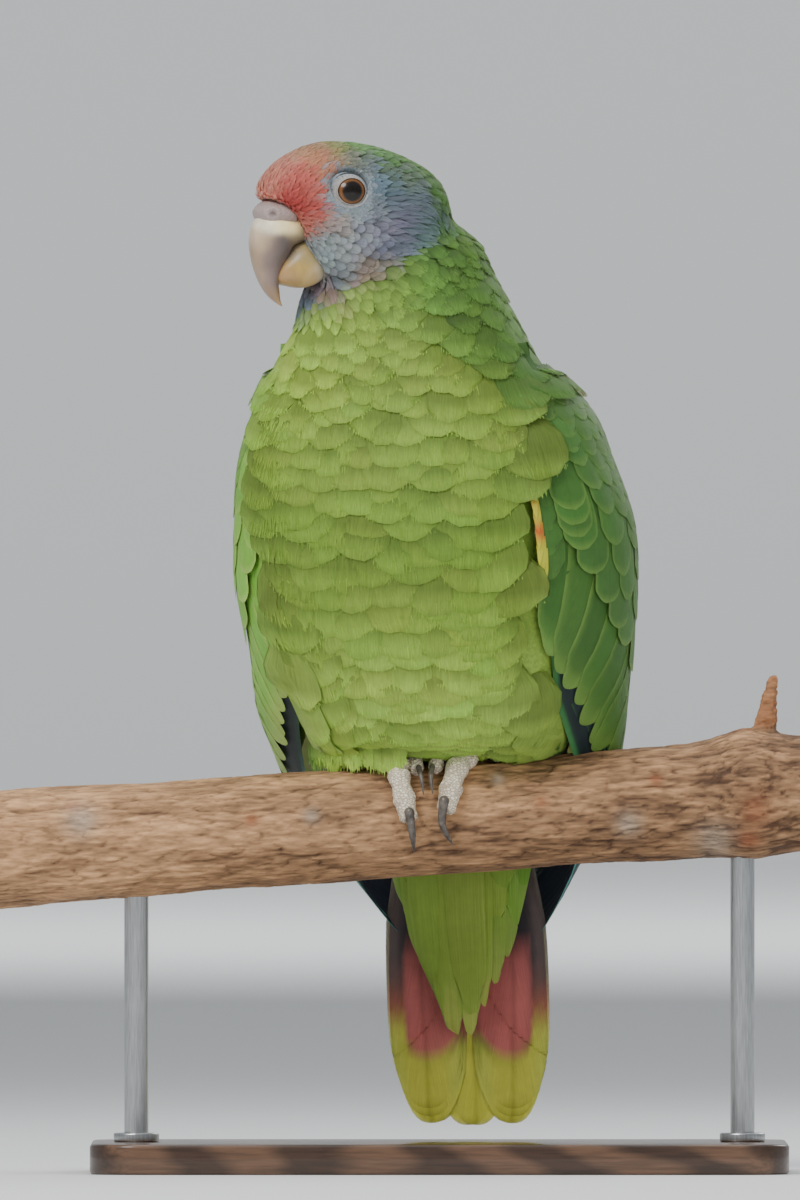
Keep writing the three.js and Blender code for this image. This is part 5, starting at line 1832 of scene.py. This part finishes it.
# x along the branch, degrees from its top towards the front, lift off its bark
def onBranch(x, degrees, lift):
    angle = np.radians(degrees)
    reach = perch["radius"] + np.asarray(lift)
    return np.stack([np.asarray(x, float), -reach * np.sin(angle), reach * np.cos(angle)], -1)


# A round limb through places in the branch's frame, with its radius a function of 0 to 1.
def tube(name, places, radiusAt, rings, sides):
    table = [[i / (len(places) - 1), *place] for i, place in enumerate(np.asarray(places).tolist())]

    def place(along, around):
        middle = smoothRows(table, along)
        ahead = unit(
            smoothRows(table, np.clip(along + 0.01, 0, 1))
            - smoothRows(table, np.clip(along - 0.01, 0, 1))
        )
        side = unit(np.cross(ahead, np.array([0.15, -0.6, 0.78])))
        over = np.cross(side, ahead)
        angle = around * 2 * math.pi
        radius = radiusAt(along, angle) * roundEnds(along, 0.1)
        return fromPerch(
            middle + side * (np.cos(angle) * radius)[:, None] + over * (np.sin(angle) * radius)[:, None]
        )
    return ringBody(name, place, rings, sides)


# per toe: digit, places as [x, degrees] along it, then its claw's, then its thickness as a share of
# the longest's
toes = {
    "right": [
        (3, [(-13.6, 12), (-12.3, 48), (-9.8, 92)], [(-9.9, 79), (-9.3, 100), (-9.1, 122)], 1.08),
        (2, [(-7.4, 10), (-6.9, 25), (-6.2, 40)], [(-5.8, 38), (-5, 54), (-4.6, 66)], 0.8),
        (4, [(-14.6, -18), (-17, -48), (-19, -78)], [(-19.2, -80), (-20.2, -104), (-20.6, -122)], 1),
        (1, [(-8.6, -16), (-7, -34), (-5.6, -52)], [(-5.3, -53), (-4.6, -72), (-4.2, -86)], 0.75),
    ],
    "left": [
        (3, [(13.6, 10), (7, 44), (1.9, 86)], [(2.3, 72), (0.8, 94), (3.8, 117)], 1.12),
        (2, [(2.6, 8), (0.9, 24), (-0.3, 40)], [(-1, 38), (-1.9, 54), (-1.6, 66)], 0.8),
        (4, [(15, -18), (17, -48), (19, -78)], [(19.2, -80), (20.2, -104), (20.6, -122)], 1),
        (1, [(8.6, -16), (7, -34), (5.6, -52)], [(5.3, -53), (4.6, -72), (4.2, -86)], 0.75),
    ],
}
for word in ("left", "right"):
    flesh, horn, replaced, replacedClaws = [mergedCopy("shank_" + word)], [], ["shank_" + word], []
    for digit, path, claw, size in toes[word]:
        thick = foot["thick"] * size
        joints = len(path) + 1
        pads = lambda t, angle: thick * (0.94 + 0.1 * np.cos(2 * math.pi * joints * t)) * (1 - 0.04 * t)
        flesh.append(tube("toe", [onBranch(x, a, thick - 0.4) for x, a in path], pads, 40, 28))
        lifts = [thick * 1.5, thick * 1.45, 0.9]
        base = (1.75 if digit == 3 else 1.35) * size
        taper = lambda t, angle: (base * (1 - t) ** 0.7 + 0.12) * (1 - 0.12 * np.abs(np.cos(angle)))
        horn.append(
            tube("claw", [onBranch(x, a, lift) for (x, a), lift in zip(claw, lifts)], taper, 36, 20)
        )
        replaced.append(f"toe_{word}_{digit}")
        replacedClaws.append(f"claw_{word}_{digit}")
    flesh = joinAll(flesh, "foot_" + word)
    applyModifier(flesh, "REMESH", mode="VOXEL", voxel_size=foot["voxel"] * mm)
    applyModifier(flesh, "SMOOTH", factor=0.5, iterations=5)
    points, normals = readPoints(flesh.data), readNormals(flesh.data)
    local = toPerch(points)
    degrees = np.degrees(np.arctan2(-local[:, 1], local[:, 2]))
    scutes = np.abs(np.sin(np.radians(degrees) * 19 + 0.25 * local[:, 0])) ** 0.6
    wrinkle = np.array([noise.noise(Vector(place) * 700) for place in points.tolist()])
    writePoints(
        flesh.data,
        points + normals * (foot["scutes"] * (scutes - 0.7) + foot["wrinkle"] * wrinkle)[:, None] * mm
    )
    flesh.data.shade_smooth()
    dress(flesh, footMaterial, "foot_skin", *replaced)
    horn = joinAll(horn, "claws_" + word)
    dress(horn, clawMaterial, "claw_horn", *replacedClaws)
print("feet made")


# the branch

def branchPlace(along, around):
    inner = np.clip((along * 300 - 1) / 298, 0, 1)
    x = perch["left"] + (perch["right"] - perch["left"]) * inner
    angle = around * 2 * math.pi
    ripple = (
        perch["ripple"][0] * np.sin(x / 17 + 2 * angle)
        + perch["ripple"][1] * np.sin(x / 9 - 3 * angle + 1)
    )
    knot = (
        perch["knot"] * np.exp(-(((x - perch["knotAt"]) / 11) ** 2)) * (1 + 0.5 * np.cos(angle - 2.2))
    )
    radius = perch["radius"] + 0.9 * (x / 148) ** 2 + ripple * np.minimum(1, np.abs(x) / 40) + knot
    radius = np.where((along <= 0) | (along >= 1), 0, radius)
    return fromPerch(np.stack([x, np.cos(angle) * radius, np.sin(angle) * radius], -1))


def spurPlace(along, around):
    t = along
    x = np.interp(t, [0, 0.33, 0.66, 1], [0, 1, 3.5, 6]) + perch["spurAt"]
    z = 12 + 28 * t
    y = np.interp(t, [0, 0.33, 1], [0, 0, -1])
    angle = around * 2 * math.pi
    radius = (6.4 + (1.6 - 6.4) * t**0.8) * roundEnds(t, 0.06) * (1 + 0.1 * np.sin(3 * angle + 5 * t))
    return fromPerch(np.stack([x + np.cos(angle) * radius, y + np.sin(angle) * radius, z], -1))


bark = {
    "dark": (84, 58, 40), "light": (212, 164, 118), "knot": (150, 84, 52), "lichen": (196, 190, 176),
    "cut": (206, 176, 132), "spur": (176, 118, 78),
    "knots": [
        (97, 4, 16, 4.5), (104, -19, -4, 5), (101, -16, -14, 4), (-62, -18, 4, 2.2), (34, -18, 3, 2),
        (-120, -14, 12, 2.5), (72, -17, 8, 2),
    ], "lichens": [(-118, 8, 5), (-42, 4, 2.5), (62, -6, 4), (20, 12, 2), (90, -14, 6)],
}
branch = joinAll(
    [ringBody("branchWood", branchPlace, 300, 96), ringBody("spurWood", spurPlace, 40, 28)],
    "branchPiece"
)
applyModifier(branch, "REMESH", mode="VOXEL", voxel_size=perch["voxel"] * mm)
points, normals = readPoints(branch.data), readNormals(branch.data)
local = toPerch(points)
onEnd = (
    np.abs(normals @ perchAxes[0])
    * ((local[:, 0] < perch["left"] + 2) | (local[:, 0] > perch["right"] - 2))
)
relief, tone = [], []
for x, y, z in local.tolist():
    low = noise.fractal(Vector((x / 26, y / 6, z / 6)), 0.9, 2.1, 3)
    fine = noise.noise(Vector((x / 7, y / 1.6, z / 1.6)))
    ridge = abs(noise.noise(Vector((x / 13 + 7, y / 3, z / 3))))
    hair = noise.noise(Vector((x / 9 + 3, y / 0.9, z / 0.9)))
    crack = max(0, 0.1 - abs(noise.noise(Vector((x / 11 - 5, y / 1.9, z / 1.9))))) / 0.1
    relief.append(
        0.34 * low + 0.2 * fine + 0.16 * hair - 0.4 * max(0, 0.14 - ridge) / 0.14 - 0.22 * crack
    )
    grain = 0.36 * low + 0.22 * fine + 0.26 * hair - 0.3 * max(0, 0.1 - ridge) / 0.1 - 0.2 * crack
    # painted shade: darker underneath, away from the light above; also darker to the right
    tone.append(0.56 + grain - 0.2 * min(1, max(-1, x / 110)) - 0.16 * max(0, -z / 19))
relief, tone = np.array(relief), np.clip(np.array(tone), 0, 1)
spur = ramp(local[:, 2], 21, 24) * (np.abs(local[:, 0] - perch["spurAt"] - 3) < 14)
relief = relief * (1 - onEnd) * (1 + 0.5 * spur)
writePoints(branch.data, points + normals * (relief - 0.25)[:, None] * mm)
branch.data.shade_smooth()
colours = between(bark["dark"], bark["light"], tone[:, None])
for kx, ky, kz, size in bark["knots"]:
    near = np.exp(-(np.linalg.norm(local - [kx, ky, kz], axis=1) / size) ** 2)[:, None]
    colours = between(colours, bark["knot"], 0.75 * near)
for lx, lz, size in bark["lichens"]:
    near = np.exp(-(np.hypot(local[:, 0] - lx, local[:, 2] - lz) / size) ** 2) * (local[:, 1] < 0)
    colours = between(colours, bark["lichen"], 0.55 * (near * (0.4 + 0.6 * tone))[:, None])
rings = 0.5 + 0.5 * np.sin(np.hypot(local[:, 1] - 1, local[:, 2] + 1.5) * 3.2)
colours = between(colours, linear(bark["cut"]) * (0.86 + 0.14 * rings[:, None]), onEnd[:, None])
colours = between(colours, bark["spur"], 0.6 * spur[:, None])
paint(branch, colours)
barkMaterial = paintedMaterial("barkSkin", 0.85, 0.45, 760, 0.9, stretch=(0.22, 1, 1))
dress(branch, barkMaterial, "bark", "branch")
print("branch made,", len(branch.data.polygons), "faces")


# the stand

stand = {
    "length": 230, "depth": 124, "thickness": 10, "corner": 16, "edge": 1.2, "rod": 4, "spread": 100,
    "collar": 7.5, "collarHigh": 3, "smoothAngle": math.radians(40),
}
bpy.ops.mesh.primitive_cube_add(size=1)
base = bpy.context.object
base.name = "standBase"
size = (stand["length"] * mm, stand["depth"] * mm, stand["thickness"] * mm)
base.data.transform(Matrix.Translation((0, 0, size[2] / 2)) @ Matrix.Diagonal((*size, 1)))
mesh = bmesh.new()
mesh.from_mesh(base.data)
climb = lambda e: abs(e.verts[0].co.z - e.verts[1].co.z)
upright = [e for e in mesh.edges if climb(e) > 0.005]
bmesh.ops.bevel(
    mesh, geom=upright, offset=stand["corner"] * mm, segments=12, profile=0.5, affect="EDGES"
)
flat = [e for e in mesh.edges if climb(e) < 1e-6 and any(abs(f.normal.z) > 0.9 for f in e.link_faces)]
bmesh.ops.bevel(mesh, geom=flat, offset=stand["edge"] * mm, segments=4, profile=0.5, affect="EDGES")
mesh.to_mesh(base.data)
mesh.free()
setActive(base)
bpy.ops.object.shade_smooth_by_angle(angle=stand["smoothAngle"])
timber = newMaterial("darkTimber", {"Roughness": 0.38, "Coat Weight": 0.4})
wave = add(timber, "TexWave", Scale=46, Distortion=7, Detail=3)
join(timber, objectPlace(timber, (0.16, 1, 1)), wave.inputs["Vector"])
grain = rampOf(timber, wave.outputs["Fac"], [(0.2, (0.045, 0.022, 0.012)), (0.8, (0.12, 0.062, 0.034))])
coloured(
    timber, grain, noiseOf(timber, objectPlace(timber, (0.06, 1, 1)), 900, 2), [(0.35, 0.7), (0.6, 1.1)]
)
dress(base, timber, "stand_wood", "stand_base")

steel = newMaterial("brushedSteel", {"Roughness": 0.32, "Metallic": 1.0})
brush = noiseOf(steel, objectPlace(steel, (1, 1, 0.05)), 2400, 2)
steelShade = rampOf(steel, brush, [(0.3, (0.42, 0.43, 0.44)), (0.7, (0.62, 0.63, 0.64))])
join(steel, steelShade, shaderOf(steel).inputs["Base Color"])
bumpOf(steel, brush, 0.08, 0.0001)


def cylinder(x, radius, middle, depth):
    bpy.ops.mesh.primitive_cylinder_add(
        vertices=64, radius=radius * mm, depth=depth, location=(x * mm, 0, middle)
    )
    bpy.ops.object.transform_apply(location=True, rotation=False, scale=False)
    return bpy.context.object


for word, x in (("left", -stand["spread"]), ("right", stand["spread"])):
    low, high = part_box("stand_rod_" + word)
    rod = cylinder(x, stand["rod"], (low[2] + high[2]) / 2, high[2] - low[2])
    collar = cylinder(
        x, stand["collar"], (stand["thickness"] + stand["collarHigh"] / 2) * mm,
        stand["collarHigh"] * mm
    )
    applyModifier(collar, "BEVEL", width=0.6 * mm, segments=3, limit_method="ANGLE")
    rod = joinAll([rod, collar], "standRod_" + word)
    setActive(rod)
    bpy.ops.object.shade_smooth_by_angle(angle=stand["smoothAngle"])
    dress(rod, steel, "stand_steel", "stand_rod_" + word)
print("stand made")


# floor

floor = {"flat": 14, "bend": 1.5, "wall": 9, "sides": 96}
profile = [(0.01, 0), (1.5, 0), (floor["flat"], 0)]
profile += [
    (floor["flat"] + floor["bend"] * math.sin(a), floor["bend"] * (1 - math.cos(a)))
    for a in np.linspace(0, math.pi / 2, 16)[1:]
]
profile += [(floor["flat"] + floor["bend"], floor["wall"])]
around = np.arange(floor["sides"]) * 2 * math.pi / floor["sides"]
points = [(r * math.cos(a), r * math.sin(a), z) for r, z in profile for a in around]
faces = [tuple(range(floor["sides"]))]
for i in range(len(profile) - 1):
    for j in range(floor["sides"]):
        k = (j + 1) % floor["sides"]
        faces.append(
            (
                i * floor["sides"] + j, (i + 1) * floor["sides"] + j, (i + 1) * floor["sides"] + k,
                i * floor["sides"] + k
            )
        )
sweep = newMesh("floorSweep", points, faces)
paper = newMaterial("palePaper", {"Roughness": 0.9, "Base Color": (0.78, 0.79, 0.79, 1)})
sweep.data.materials.append(paper)
sweep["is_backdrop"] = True

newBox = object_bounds()
boxes = {"solids": cadBox, "looks": newBox}
boxes = {key: [list(map(float, corner)) for corner in box] for key, box in boxes.items()}
